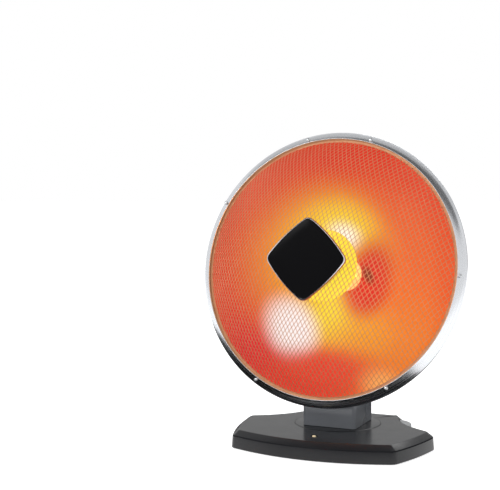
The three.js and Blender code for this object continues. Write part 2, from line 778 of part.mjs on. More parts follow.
// ---------------------------------------------------------------- dish: shapes in its own frame
// Along the dish's axis, from the ring back: hem of the grille, reflector flange, housing flange
const ringBackY = gap;
const hemFrontY = ringBackY + gap;
const hemBackY = hemFrontY + hemThickness;
const reflectorRimY = hemBackY + gap;
const housingRimY = reflectorRimY + reflectorWall + gap;
const bandInnerRadius = rimRadius - bandWidth;
const reflectorRimRadius = bandInnerRadius - 1;
const screwCircle = bandInnerRadius + 0.4 * bandWidth;
const housingRadius = rimRadius - ringWall - 2 * gap;
const flangeRadius = housingRadius - 1;
const hemInnerRadius = bandInnerRadius - 2.5;

// A paraboloid's [radius, y] points from radius r0 to r1, moved out along its normal by `out`
function bowlPoints(bowl, r0, r1, out, steps) {
  return Array.from({ length: steps + 1 }, (_, i) => {
    const radius = r0 + (i / steps) * (r1 - r0);
    const { point, normal } = bowlAt(bowl, radius);
    return [point.x + out * normal.x, point.y + out * normal.y];
  });
}

// A point on the bowl at a radius, and the way out of it, both as (radius, y)
function bowlAt({ rim, rimY, depth }, radius) {
  const point = new THREE.Vector2(radius, rimY + depth * (1 - (radius / rim) ** 2));
  const normal = new THREE.Vector2((2 * depth * radius) / rim ** 2, 1).normalize();
  return { point, normal };
}

const reflectorBowl = { rim: reflectorRimRadius, rimY: reflectorRimY, depth: reflectorDepth };
const housingBowl = { rim: housingRadius, rimY: housingRimY + housingWall, depth: housingDepth };
const bowlSegments = 32;
const bowlSteps = 4;
const apexY = reflectorBowl.rimY + reflectorDepth;

// Holes for the ring's screws, through everything that they clamp
function ringScrewHoles() {
  return ringScrewAngles.map((angle) => {
    const [x, z] = [screwCircle * Math.cos(radians(angle)), screwCircle * Math.sin(radians(angle))];
    return cylinderY(screwHoleRadius, [-ringCrown - 1, housingRimY + housingWall + 1], x, z, 8);
  });
}

function grilleRing() {
  const profile = [
    [bandInnerRadius, ringBackY],
    [bandInnerRadius, -ringCrown * 0.35],
    [bandInnerRadius + bandWidth * 0.12, -ringCrown * 0.8],
    [screwCircle, -ringCrown],
    [bandInnerRadius + bandWidth * 0.7, -ringCrown * 0.8],
    [bandInnerRadius + bandWidth * 0.91, -ringCrown * 0.15],
    [rimRadius, ringBackY + ringWall],
    [rimRadius, ringSkirt],
    [rimRadius - ringWall, ringSkirt],
    [rimRadius - ringWall, ringBackY + ringWall + 1],
    [rimRadius - ringWall - 1.2, ringBackY],
  ];
  return cut(revolveY(profile, 40), ...ringScrewHoles());
}

function ringScrew(angle) {
  const [x, z] = [screwCircle * Math.cos(radians(angle)), screwCircle * Math.sin(radians(angle))];
  const seatY = -ringCrown - gap;
  const tipY = housingRimY + housingWall + 0.5;
  return screw(tipY - seatY).rotateX(Math.PI / 2).translate(x, seatY, z);
}

// The reflector has a flat seat round its centre hole for the element's ceramic base
const reflectorSeatRadius = elementFlangeRadius + 1;
const reflectorSeatY = bowlAt(reflectorBowl, reflectorSeatRadius).point.y;

function reflector() {
  const holeRadius = elementBodyRadius + gap;
  const inner = bowlPoints(reflectorBowl, reflectorSeatRadius, reflectorRimRadius, 0, bowlSteps);
  const outer = bowlPoints(reflectorBowl, reflectorSeatRadius, reflectorRimRadius, reflectorWall, bowlSteps);
  const backY = reflectorRimY + reflectorWall;
  outer[outer.length - 1] = [reflectorRimRadius + reflectorWall, backY];
  const flange = [[flangeRadius, reflectorRimY], [flangeRadius, backY]];
  const seatBack = [holeRadius, reflectorSeatY + reflectorWall];
  const profile = [[holeRadius, reflectorSeatY], ...inner, ...flange, ...outer.reverse(), seatBack];
  return cut(revolveY(profile, bowlSegments), ...ringScrewHoles());
}

const hubHoleRadius = hubCapRadius - 9;
function rearHousing() {
  const outer = bowlPoints(housingBowl, hubHoleRadius, housingRadius, 0, bowlSteps);
  const inner = bowlPoints(housingBowl, hubHoleRadius, housingRadius, -housingWall, bowlSteps);
  inner[inner.length - 1] = [housingRadius - housingWall * 1.4, housingRimY + housingWall];
  const lip = [[bandInnerRadius, housingRimY + housingWall], [bandInnerRadius, housingRimY]];
  const profile = [...outer, [housingRadius, housingRimY], ...lip.reverse(), ...inner.reverse()];
  const holes = bracketScrewPoses().map((pose) => screwHoleAt(pose));
  return cut(revolveY(profile, bowlSegments), ...ringScrewHoles(), ...holes);
}

// ---------------------------------------------------------------- tilt bracket under the dish
const bracketRadius = housingRadius - bracketFromRim;
const seat = bowlAt(housingBowl, bracketRadius);
const pinInDish = seat.point.clone().addScaledVector(seat.normal, knuckleDrop);

// The housing as a solid bowl, grown by `out`, that the bracket is fitted round
function grownBowl(out) {
  const points = bowlPoints(housingBowl, 0, housingRadius, out, 12);
  return revolveY([...points, [points.at(-1)[0], -10], [0, -10]], bowlSegments);
}

function bracketSpan() {
  return [-bracketRadius - bracketHalfLength, -bracketRadius + bracketHalfLength];
}

function tiltBracket() {
  const halfWidth = lugX + bracketOverhang;
  const block = box([-halfWidth, halfWidth], [0, apexY + housingDepth], bracketSpan());
  const pad = common(grownBowl(gap + bracketThickness), block);
  const lugSpans = [[lugX - lugThickness, lugX], [-lugX, -lugX + lugThickness]];
  const lugs = lugSpans.map((span) => prismX(lugSide(), span));
  const pinHole = cylinderX(pinHoleRadius, [-neckWidth, neckWidth], pinInDish.y, -pinInDish.x, 20);
  const holes = bracketScrewPoses().map((pose) => screwHoleAt(pose));
  return cut(join(pad, ...lugs), grownBowl(gap), pinHole, ...holes);
}

// A lug's side view, as [y, z] points: an eye about the bolt, widening to a root on the housing
function lugSide() {
  const eye = new THREE.Vector2(pinInDish.y, -pinInDish.x);
  const low = bowlAt(housingBowl, bracketRadius + bracketHalfLength * 0.8).point;
  const high = bowlAt(housingBowl, bracketRadius - bracketHalfLength * 0.8).point;
  const lowRoot = new THREE.Vector2(low.y, -low.x);
  const highRoot = new THREE.Vector2(high.y, -high.x);
  const start = tangentAngle(lowRoot, eye, lugRadius, 1);
  const end = tangentAngle(highRoot, eye, lugRadius, -1);
  const sweep = THREE.MathUtils.euclideanModulo(end - start, 2 * Math.PI);
  const arc = Array.from({ length: 11 }, (_, i) => {
    const angle = start + (i / 10) * sweep;
    return new THREE.Vector2(eye.x + lugRadius * Math.cos(angle), eye.y + lugRadius * Math.sin(angle));
  });
  return [lowRoot, ...arc, highRoot];
}

// Where the bracket's two screws stand on the housing, between its lugs: one above and one below
function bracketScrewPoses() {
  return [-1, 1].map((side) => {
    const { point, normal } = bowlAt(housingBowl, bracketRadius + side * bracketHalfLength * 0.7);
    const outward = new THREE.Vector3(0, normal.y, -normal.x);
    const place = new THREE.Vector3(0, point.y, -point.x);
    return { place, outward };
  });
}

function stoodOn({ place, outward }, geometry) {
  const turn = new THREE.Quaternion().setFromUnitVectors(new THREE.Vector3(0, 0, 1), outward);
  return geometry.applyQuaternion(turn).translate(place.x, place.y, place.z);
}

function screwHoleAt(pose) {
  return stoodOn(pose, cylinderZ(screwHoleRadius, [-6, bracketThickness + 6], 0, 0, 10));
}

function bracketScrew(pose) {
  const seatHeight = bracketThickness + 2 * gap;
  return stoodOn(pose, screw(seatHeight + housingWall + 2).translate(0, 0, seatHeight));
}

function pivotSleeve() {
  const reach = lugX - lugThickness - gap;
  const sleeve = cylinderX(tiltPinRadius + 2, [-reach, reach], pinInDish.y, -pinInDish.x, 16);
  return cut(sleeve, cylinderX(pinHoleRadius, [-neckWidth, neckWidth], pinInDish.y, -pinInDish.x, 16));
}

// ---------------------------------------------------------------- rear hub cap, rod and element
const capSeatY = bowlAt(housingBowl, hubCapRadius - 2).point.y + gap;
const capTopY = capSeatY + hubCapHeight;
const rodHoleRadius = rodRadius + gap;

function rearHubCap() {
  const profile = [
    [rodHoleRadius, capTopY],
    [hubCapRadius * 0.65, capTopY - 1],
    [hubCapRadius * 0.92, capTopY - 4.5],
    [hubCapRadius, capSeatY],
    [hubCapRadius - 2, capSeatY],
    [hubCapRadius * 0.92 - 2, capTopY - 6],
    [hubCapRadius * 0.65, capTopY - 3],
    [rodHoleRadius, capTopY - 2],
  ];
  const slots = Array.from({ length: 6 }, (_, i) => {
    const slot = box([hubCapRadius * 0.35, hubCapRadius * 0.75], [capTopY - 8, capTopY + 2], [-1.4, 1.4]);
    return slot.rotateY((i / 6) * 2 * Math.PI);
  });
  return cut(revolveY(profile, 20), ...slots);
}

const flangeBackY = reflectorSeatY - gap;
const flangeFrontY = flangeBackY - elementFlangeThickness;
const coreBackY = flangeFrontY - gap;
const coreRadius = coilRadius - coilWireRadius - corePlay;

function elementBase() {
  const profile = [
    [rodHoleRadius, flangeFrontY],
    [elementFlangeRadius, flangeFrontY],
    [elementFlangeRadius, flangeBackY],
    [elementBodyRadius, flangeBackY],
    [elementBodyRadius, flangeBackY + elementBodyLength],
    [rodHoleRadius, flangeBackY + elementBodyLength],
  ];
  return revolveY(profile, 18);
}

function elementCore() {
  const profile = [
    [rodHoleRadius, coreFrontY],
    [coreRadius, coreFrontY],
    [coreRadius, coreBackY],
    [rodHoleRadius, coreBackY],
  ];
  return revolveY(profile, 18);
}

const frontCapFrontY = coreFrontY - gap - frontCapThickness;
function elementFrontCap() {
  const profile = [
    [rodHoleRadius, frontCapFrontY],
    [coilRadius + 2.5, frontCapFrontY],
    [coilRadius + 2.5, coreFrontY - gap],
    [rodHoleRadius, coreFrontY - gap],
  ];
  return revolveY(profile, 18);
}

// The wire's centre line: loops round the core, then a bend at each end into a straight run
function coilCentreLine() {
  const stepsPerLoop = 24;
  const bendRadius = 2.5;
  const length = coilLoops * coilPitch;
  const middleY = (coreFrontY + coreBackY) / 2;
  const loops = Array.from({ length: coilLoops * stepsPerLoop + 1 }, (_, i) => {
    const angle = (i / stepsPerLoop) * 2 * Math.PI;
    const y = middleY - length / 2 + (i / stepsPerLoop) * coilPitch;
    return new THREE.Vector3(coilRadius * Math.cos(angle), y, -coilRadius * Math.sin(angle));
  });
  const leadOut = coilEnd(loops.at(-1), loops.at(-2), 1, coreBackY, bendRadius);
  const leadIn = coilEnd(loops[0], loops[1], -1, coreFrontY, bendRadius);
  return [...leadIn.reverse(), ...loops, ...leadOut];
}

// From a coil's last point, a quarter bend towards +Y or -Y, then straight to the plane y = endY
function coilEnd(last, beforeLast, way, endY, bendRadius) {
  const onward = last.clone().sub(beforeLast).setY(0).normalize();
  const axis = new THREE.Vector3(0, way, 0);
  const bend = [1, 2, 3, 4].map((step) => {
    const angle = (step / 4) * (Math.PI / 2);
    const point = last.clone().addScaledVector(onward, bendRadius * Math.sin(angle));
    return point.addScaledVector(axis, bendRadius * (1 - Math.cos(angle)));
  });
  return [...bend, bend.at(-1).clone().setY(endY)];
}

// A tube of flat-sided section along a line of points, its section carried along without twist
function tube(points, radius, sides) {
  const directions = points.map((point, i) => {
    const next = points[Math.min(i + 1, points.length - 1)];
    const previous = points[Math.max(i - 1, 0)];
    return next.clone().sub(previous).normalize();
  });
  let across = new THREE.Vector3(0, 0, 1).cross(directions[0]).normalize();
  const rings = points.map((point, i) => {
    across = across.clone().addScaledVector(directions[i], -across.dot(directions[i])).normalize();
    const up = directions[i].clone().cross(across);
    return Array.from({ length: sides }, (_, k) => {
      const angle = (k / sides) * 2 * Math.PI;
      const corner = point.clone().addScaledVector(across, radius * Math.cos(angle));
      return corner.addScaledVector(up, radius * Math.sin(angle));
    });
  });
  const fan = Array.from({ length: sides - 2 }, (_, k) => [0, k + 1, k + 2]);
  return skin(rings, fan);
}

// The least space between any two stretches of the wire that are over half a loop apart
function leastGap(points, radius, halfLoop) {
  let least = Infinity;
  for (let i = 0; i < points.length; i += 1) {
    for (let j = i + halfLoop; j < points.length; j += 1) {
      least = Math.min(least, points[i].distanceTo(points[j]));
    }
  }
  return least - 2 * radius;
}

function heatingCoil() {
  const line = coilCentreLine();
  console.log(`heating coil: least gap to itself ${leastGap(line, coilWireRadius, 12).toFixed(2)} mm`);
  return tube(line, coilWireRadius, 6);
}

// The guard disc is a shallow dish in front of the element, hollow side to the reflector
const guardSeatY = frontCapFrontY - gap;
function guardDisc() {
  const profile = [
    [rodHoleRadius, guardSeatY],
    [guardRadius * 0.4, guardSeatY],
    [guardRadius, guardSeatY + guardDish],
    [guardRadius, guardSeatY + guardDish - guardSheet],
    [guardRadius * 0.4, guardSeatY - guardSheet],
    [rodHoleRadius, guardSeatY - guardSheet],
  ];
  return revolveY(profile, 22);
}

const guardNutBackY = guardSeatY - guardSheet - gap;
function rodNut(y0) {
  const span = [y0, y0 + nutLength];
  const bore = cylinderY(rodHoleRadius, [y0 - 1, y0 + nutLength + 1], 0, 0, 12);
  return cut(prismY(hexagon(hexRadius), span), bore);
}

function centreRod() {
  return cylinderY(rodRadius, [guardNutBackY - nutLength - 1, capTopY + gap + nutLength + 1], 0, 0, 16);
}

// A small snap thermostat on the back of the reflector
function thermalCutoff() {
  const { point, normal } = bowlAt(reflectorBowl, cutoffPlace);
  const outward = new THREE.Vector3(normal.x, normal.y, 0);
  const place = new THREE.Vector3(point.x, point.y, 0).addScaledVector(outward, reflectorWall + 1.6 * gap);
  const [flange, can] = [cutoffRadius, cutoffRadius - 1.5];
  const profile = [[0, 0], [flange, 0], [flange, 2], [can, 2], [can, cutoffHeight], [0, cutoffHeight]];
  return stoodOn({ place, outward }, revolveZ(profile, 16));
}

// ---------------------------------------------------------------- grille
// How far the dome stands forward of its hem at a radius: a spherical cap
const domeSphere = (hemInnerRadius ** 2 + domeHeight ** 2) / (2 * domeHeight);
function domeRise(radius) {
  if (radius >= hemInnerRadius) return 0;
  return Math.sqrt(domeSphere ** 2 - radius ** 2) - (domeSphere - domeHeight);
}

// The part of a convex outline that lies inside a regular polygon about the origin
function clipToDisc(outline, radius, sides) {
  let kept = outline;
  for (let side = 0; side < sides; side += 1) {
    const angle = ((side + 0.5) / sides) * 2 * Math.PI;
    const outward = new THREE.Vector2(Math.cos(angle), Math.sin(angle));
    const reach = radius * Math.cos(Math.PI / sides);
    const beyond = (point) => point.dot(outward) - reach;
    kept = kept.flatMap((point, i) => {
      const next = kept[(i + 1) % kept.length];
      const [here, there] = [beyond(point), beyond(next)];
      const crossing = here * there < 0 ? [point.clone().lerp(next, here / (here - there))] : [];
      return here <= 0 ? [point, ...crossing] : crossing;
    });
  }
  return kept;
}

// The net is a lattice of square cells on their corners, each with one gap: a smaller square in it.
// Cells are cut off at the net's rim and gaps at its hem. Each entry is [cell outline, gap outline].
function netCells() {
  const reach = Math.ceil(hemInnerRadius / netPitch) + 1;
  const smallest = (netBar * netBar) / 2;
  const cells = [];
  for (let row = -reach; row <= reach; row += 1) {
    for (let column = -reach; column <= reach; column += 1) {
      const upright = new THREE.Vector2(row * netPitch, column * netPitch);
      const centre = upright.rotateAround(new THREE.Vector2(), Math.PI / 4);
      const square = (side) => polygon((side / 2) * Math.SQRT2, 4, [centre.x, centre.y]);
      const cell = clipToDisc(square(netPitch), hemInnerRadius + 1, netSides);
      const opening = clipToDisc(square(netPitch - netBar), hemInnerRadius - netBar / 4, netSides);
      const open = opening.length > 2 && THREE.ShapeUtils.area(opening) > smallest;
      if (cell.length > 2) cells.push([cell, open ? opening : []]);
    }
  }
  return cells;
}

// A closed slab between two places along Y, from a flat sheet of [x, z] triangles
function slab(triangles, [y0, y1]) {
  const places = [];
  const numbers = new Map();
  const numberOf = (point) => {
    const key = `${Math.round(point.x * 1000)},${Math.round(point.y * 1000)}`;
    if (!numbers.has(key)) {
      numbers.set(key, places.length);
      places.push(point);
    }
    return numbers.get(key);
  };
  const faces = triangles.map((triangle) => triangle.map(numberOf));
  const count = places.length;
  const edges = new Set(faces.flatMap(([a, b, c]) => [`${a},${b}`, `${b},${c}`, `${c},${a}`]));
  const pairs = [...edges].map((edge) => edge.split(',').map(Number));
  const rims = pairs.filter(([a, b]) => !edges.has(`${b},${a}`));
  const sides = rims.flatMap(([a, b]) => [a, a + count, b + count, a, b + count, b]);
  const front = faces.flat();
  const back = faces.flatMap(([a, b, c]) => [a + count, c + count, b + count]);
  const points = [y0, y1].flatMap((y) => places.map((place) => new THREE.Vector3(place.x, y, place.y)));
  return new THREE.BufferGeometry().setFromPoints(points).setIndex([...front, ...back, ...sides]);
}

function meshGrille() {
  const cells = netCells();
  console.log(`grille: ${cells.filter(([, opening]) => opening.length).length} gaps`);
  const triangles = cells.flatMap(([cell, opening]) => {
    const corners = [...cell, ...opening];
    const holes = opening.length ? [opening] : [];
    return THREE.ShapeUtils.triangulateShape(cell, holes).map((face) => face.map((i) => corners[i]));
  });
  const net = slab(triangles, [hemFrontY, hemBackY]);
  const places = net.attributes.position;
  for (let i = 0; i < places.count; i += 1) {
    const radius = Math.hypot(places.getX(i), places.getZ(i));
    places.setY(i, places.getY(i) - domeRise(radius));
  }
  const hemDisc = prismY(polygon(flangeRadius, netSides), [hemFrontY, hemBackY]);
  const hemHole = prismY(polygon(hemInnerRadius, netSides), [hemFrontY - 1, hemBackY + 1]);
  return cut(join(net, cut(hemDisc, hemHole)), ...ringScrewHoles());
}

// ---------------------------------------------------------------- badge
// The net's bars round its middle gap run straight from crossing to crossing, this far out
const innerCrossing = ((netPitch - netBar) / 2) * Math.SQRT2;
const outerCrossing = ((netPitch + netBar) / 2) * Math.SQRT2;
const badgeBackY = hemFrontY - domeRise(innerCrossing) - gap;
const badgeFrontY = badgeBackY - badgeDepth;

// A square standing on its corner with bowed sides and round corners, as [x, z] points
function badgeOutline(halfDiagonal) {
  const corners = polygon(halfDiagonal, 4);
  const round = 0.09;
  return corners.flatMap((corner, i) => {
    const before = bowedEdge(corners[(i + 3) % 4], corner, badgeBow);
    const after = bowedEdge(corner, corners[(i + 1) % 4], badgeBow);
    const bend = new THREE.QuadraticBezierCurve(before.getPoint(1 - round), corner, after.getPoint(round));
    const side = [0.35, 0.65].map((share) => after.getPoint(share));
    return [...bend.getPoints(3), ...side];
  });
}

const clampFrontY = hemBackY - domeRise(outerCrossing) + gap;
function badgeBezel() {
  const tray = prismY(badgeOutline(badgeHalfDiagonal), [badgeFrontY, badgeBackY]);
  const wellSpan = [badgeFrontY - 1, badgeBackY - badgeFloor];
  const well = prismY(badgeOutline(badgeHalfDiagonal - badgeWall), wellSpan);
  const boss = cylinderY(badgeBossRadius, [badgeBackY - 1, clampFrontY - gap], 0, 0, 12);
  const hole = cylinderY(screwHoleRadius, [badgeBackY - 1.4, 0], 0, 0, 10);
  return cut(join(cut(tray, well), boss), hole);
}

function badgePlate() {
  const outline = badgeOutline(badgeHalfDiagonal - badgeWall - gap);
  return prismY(outline, [badgeFrontY + 0.5, badgeBackY - badgeFloor - gap]);
}

function badgeClamp() {
  const span = [clampFrontY, clampFrontY + clampThickness];
  const hole = cylinderY(screwHoleRadius, [span[0] - 1, span[1] + 1], 0, 0, 10);
  return cut(cylinderY(outerCrossing, span, 0, 0, 20), hole);
}

function badgeScrew() {
  const seatY = clampFrontY + clampThickness + gap;
  const tipY = badgeBackY - 1;
  return screw(seatY - tipY).rotateX(-Math.PI / 2).translate(0, seatY, 0);
}

// ---------------------------------------------------------------- assembly
function buildBase() {
  const base = new THREE.Group();
  piece(base, 'base_top_shell', baseTopShell(), glossBlack);
  piece(base, 'base_bottom_plate', baseBottomPlate(), paintedSteel);
  for (const [corner, [x, y]] of Object.entries(footPlaces)) {
    piece(base, `foot_${corner}`, rubberFoot().translate(x, y, 0), rubberBlack);
  }
  bossPlaces.forEach(([x, y], i) => {
    piece(base, `base_screw_${i + 1}`, baseScrew().translate(x, y, 0), plainSteel);
  });
  piece(base, 'power_lamp_lens', lampLens(), lampClear);
  piece(base, 'terminal_block', terminalBlock(), greyPlastic);
  piece(base, 'cord_inlet_bushing', cordInletBushing(), mattBlack);
  piece(base, 'heat_control_body', heatControlBody(), mattBlack);
  piece(base, 'heat_dial_wheel', heatDialWheel(), greyPlastic);
  piece(base, 'tip_plunger', tipPlunger(), greyPlastic);
  piece(base, 'tip_switch_body', tipSwitchBody(), mattBlack);
  return base;
}

function buildNeck() {
  const neck = new THREE.Group();
  const shell = neckShell();
  piece(neck, 'turntable_disc', turntableDisc(), glossBlack);
  piece(neck, 'turntable_retaining_ring', turntableRetainingRing(), plainSteel);
  piece(neck, 'neck_front_cover', neckFrontCover(shell), glossBlack);
  piece(neck, 'neck_rear_cover', neckRearCover(shell), glossBlack);
  piece(neck, 'neck_cover_screw_left', coverScrew(-1), plainSteel);
  piece(neck, 'neck_cover_screw_right', coverScrew(1), plainSteel);
  piece(neck, 'neck_frame', neckFrame(), paintedSteel);
  frameScrewPlaces.forEach(([x, y], i) => {
    piece(neck, `frame_screw_${i + 1}`, frameScrew().translate(x, y, 0), plainSteel);
  });
  piece(neck, 'tilt_bolt', tiltBolt(), plainSteel);
  piece(neck, 'tilt_nut', tiltNut(), plainSteel);
  piece(neck, 'friction_washer_left', frictionWasher(-1), mattBlack);
  piece(neck, 'friction_washer_right', frictionWasher(1), mattBlack);
  return neck;
}

function buildDish() {
  const dish = new THREE.Group();
  piece(dish, 'tilt_bracket', tiltBracket(), paintedSteel);
  bracketScrewPoses().forEach((pose, i) => {
    piece(dish, `bracket_screw_${i + 1}`, bracketScrew(pose), plainSteel);
  });
  piece(dish, 'pivot_sleeve', pivotSleeve(), plainSteel);
  piece(dish, 'rear_housing', rearHousing(), paintedSteel);
  piece(dish, 'rear_hub_cap', rearHubCap(), mattBlack);
  piece(dish, 'reflector', reflector(), mirrorAluminium);
  piece(dish, 'element_base', elementBase(), ceramicWhite);
  piece(dish, 'element_core', elementCore(), ceramicWhite);
  piece(dish, 'heating_coil', heatingCoil(), glowingWire);
  piece(dish, 'element_front_cap', elementFrontCap(), ceramicWhite);
  piece(dish, 'guard_disc', guardDisc(), mirrorAluminium);
  piece(dish, 'guard_nut', rodNut(guardNutBackY - nutLength), plainSteel);
  piece(dish, 'hub_cap_nut', rodNut(capTopY + gap), plainSteel);
  piece(dish, 'centre_rod', centreRod(), plainSteel);
  piece(dish, 'thermal_cutoff', thermalCutoff(), mattBlack);
  piece(dish, 'mesh_grille', meshGrille(), plainSteel);
  piece(dish, 'grille_ring', grilleRing(), satinChrome);
  ringScrewAngles.forEach((angle, i) => piece(dish, `ring_screw_${i + 1}`, ringScrew(angle), plainSteel));
  piece(dish, 'badge_bezel', badgeBezel(), satinChrome);
  piece(dish, 'badge_plate', badgePlate(), glossBlack);
  piece(dish, 'badge_clamp', badgeClamp(), plainSteel);
  piece(dish, 'badge_screw', badgeScrew(), plainSteel);
  return dish;
}

// The dish is leaned back, and set so that its bracket's eye lies on the tilt bolt
function placeDish(dish) {
  const lean = -radians(dishTilt);
  const across = new THREE.Vector3(1, 0, 0);
  const pin = new THREE.Vector3(0, pinInDish.y, -pinInDish.x).applyAxisAngle(across, lean);
  dish.rotation.x = lean;
  dish.position.set(0, tiltPinY, tiltPinZ).sub(pin);
  return dish;
}

const heater = new THREE.Group();
heater.add(buildBase(), buildNeck(), placeDish(buildDish()));
heater.position.y = swivelAxisY;

export default heater;
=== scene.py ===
import json
import math

import bmesh
import bpy
import numpy as np
from mathutils import Matrix, Vector


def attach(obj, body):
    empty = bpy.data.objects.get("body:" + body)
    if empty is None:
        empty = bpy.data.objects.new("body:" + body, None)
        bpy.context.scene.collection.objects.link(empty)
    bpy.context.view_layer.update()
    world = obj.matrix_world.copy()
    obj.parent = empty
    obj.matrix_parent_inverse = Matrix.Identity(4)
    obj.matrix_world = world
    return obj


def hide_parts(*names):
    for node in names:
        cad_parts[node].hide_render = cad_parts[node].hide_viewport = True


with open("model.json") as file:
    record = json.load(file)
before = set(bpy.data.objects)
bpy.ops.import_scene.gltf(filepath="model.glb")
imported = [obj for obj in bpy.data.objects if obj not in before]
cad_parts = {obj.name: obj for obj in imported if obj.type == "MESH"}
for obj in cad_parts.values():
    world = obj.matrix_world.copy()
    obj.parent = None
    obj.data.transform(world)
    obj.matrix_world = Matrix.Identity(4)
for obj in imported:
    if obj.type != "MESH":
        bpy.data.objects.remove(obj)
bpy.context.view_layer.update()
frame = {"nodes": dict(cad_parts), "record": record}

# Lengths are in metres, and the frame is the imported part's: +Z up, the front facing -Y.
# A few shapes are drawn in millimetres and scaled by MM as their meshes are made.
MM = 0.001
TAU = 2 * math.pi
scene = bpy.context.scene

# ------------------------------------------------------------------ sizes, as the solids have them (mm)
GAP = 0.3
SWIVEL_Y = 21.15
# The dish's own frame: its Y is the dish's axis, and it leans back about X by DISH_LEAN radians
DISH_PLACE = Vector((0, SWIVEL_Y - 35.96662344, 229.50574749)) * MM
DISH_LEAN = -0.20769418098732523
RIM = 177.5
BAND = 10.5
BAND_INNER = RIM - BAND
CROWN = 3.6
HEM_FRONT, HEM_BACK, HEM_OUTER = 0.6, 2.0, 174.3
HEM_INNER = BAND_INNER - 2.5
DOME = 76.0
DOME_SPHERE = (HEM_INNER ** 2 + DOME ** 2) / (2 * DOME)
NET_CELL, NET_BAR = 33, 2.4  # the middle opening of the solid net, which the badge covers
REFLECTOR_RIM, REFLECTOR_RIM_Y, REFLECTOR_DEPTH, REFLECTOR_WALL = 166.0, 2.3, 70.0, 0.8
REFLECTOR_HOLE, REFLECTOR_SEAT = 15.9, 23.0
HOUSING_RIM, HOUSING_RIM_Y, HOUSING_DEPTH, HOUSING_WALL = 175.3, 3.4, 90.0, 0.9
HOUSING_HOLE = 33.5
ROD_HOLE = 3.3
FLANGE_R, FLANGE_THICKNESS = 22, 3
CERAMIC_R, CERAMIC_LENGTH = 15.6, 14
CORE_R, CORE_FRONT, GROOVE_DEPTH = 13.4, -22, 0.5
CAP_R, CAP_FRONT, CAP_BACK = 17.5, -24.8, -22.3
COIL_R, COIL_LOOPS, COIL_PITCH, COIL_WIRE, COIL_TAIL = 15, 10, 7, 1.1, 2.5
GUARD_FLAT_R, GUARD_SEAT = 18.4, -25.1
BADGE_HALF, BADGE_THICKNESS, BADGE_BOW = 52.8, 4.9, 3.5
BADGE_CORNER = 0.09  # the share of an edge that the rounding of its corner takes
BASE_TOP = 23.2
BASE_UNDER = 20.5
LEDGE_Z, HUB_BOTTOM, HUB_R = 21.3, 18.7, 29.4
TURNTABLE_R, TURNTABLE_TOP = 56.0, 23.7
DIAL_CENTRE = (62.92, 39.78)
DIAL_R = 24.0
DIAL_Z = (11.5, 19.7)
DIAL_RIDGES = 60
LAMP_Y = -85.5
SHARP = 35  # degrees: an edge that turns by more stays sharp
NOISE_RANGE = (0.3, 0.7)  # where nearly all values of a noise lie


# ------------------------------------------------------------------ camera, first
CAMERA_PLACE = (0.47875, -1.28476, 0.33291)
CAMERA_TURN = (24.833, 3.129, -0.352)  # degrees to the left, down, and of roll
CAMERA_LENS, CAMERA_SENSOR = 76.77, 36


def set_camera():
    camera = bpy.data.cameras.new("camera")
    holder = bpy.data.objects.new("camera", camera)
    scene.collection.objects.link(holder)
    camera.sensor_width = CAMERA_SENSOR
    camera.lens = CAMERA_LENS
    camera.clip_start, camera.clip_end = 0.01, 50
    yaw, pitch, roll = (math.radians(angle) for angle in CAMERA_TURN)
    right = Vector((math.cos(yaw), math.sin(yaw), 0))
    ahead = Vector((-math.sin(yaw) * math.cos(pitch), math.cos(yaw) * math.cos(pitch), -math.sin(pitch)))
    up = right.cross(ahead)
    side = math.cos(roll) * right + math.sin(roll) * up
    top = -math.sin(roll) * right + math.cos(roll) * up
    turn = Matrix((side, top, -ahead)).transposed().to_4x4()
    holder.matrix_world = Matrix.Translation(CAMERA_PLACE) @ turn
    scene.camera = holder


set_camera()


# ------------------------------------------------------------------ materials
def rgb(red, green, blue):
    """Linear colour from 0 to 255 screen values."""
    def linear(v):
        v /= 255
        return v / 12.92 if v <= 0.04045 else ((v + 0.055) / 1.055) ** 2.4
    return (linear(red), linear(green), linear(blue), 1)


def darker(colour, share):
    return tuple(c * share for c in colour[:3]) + (1,)


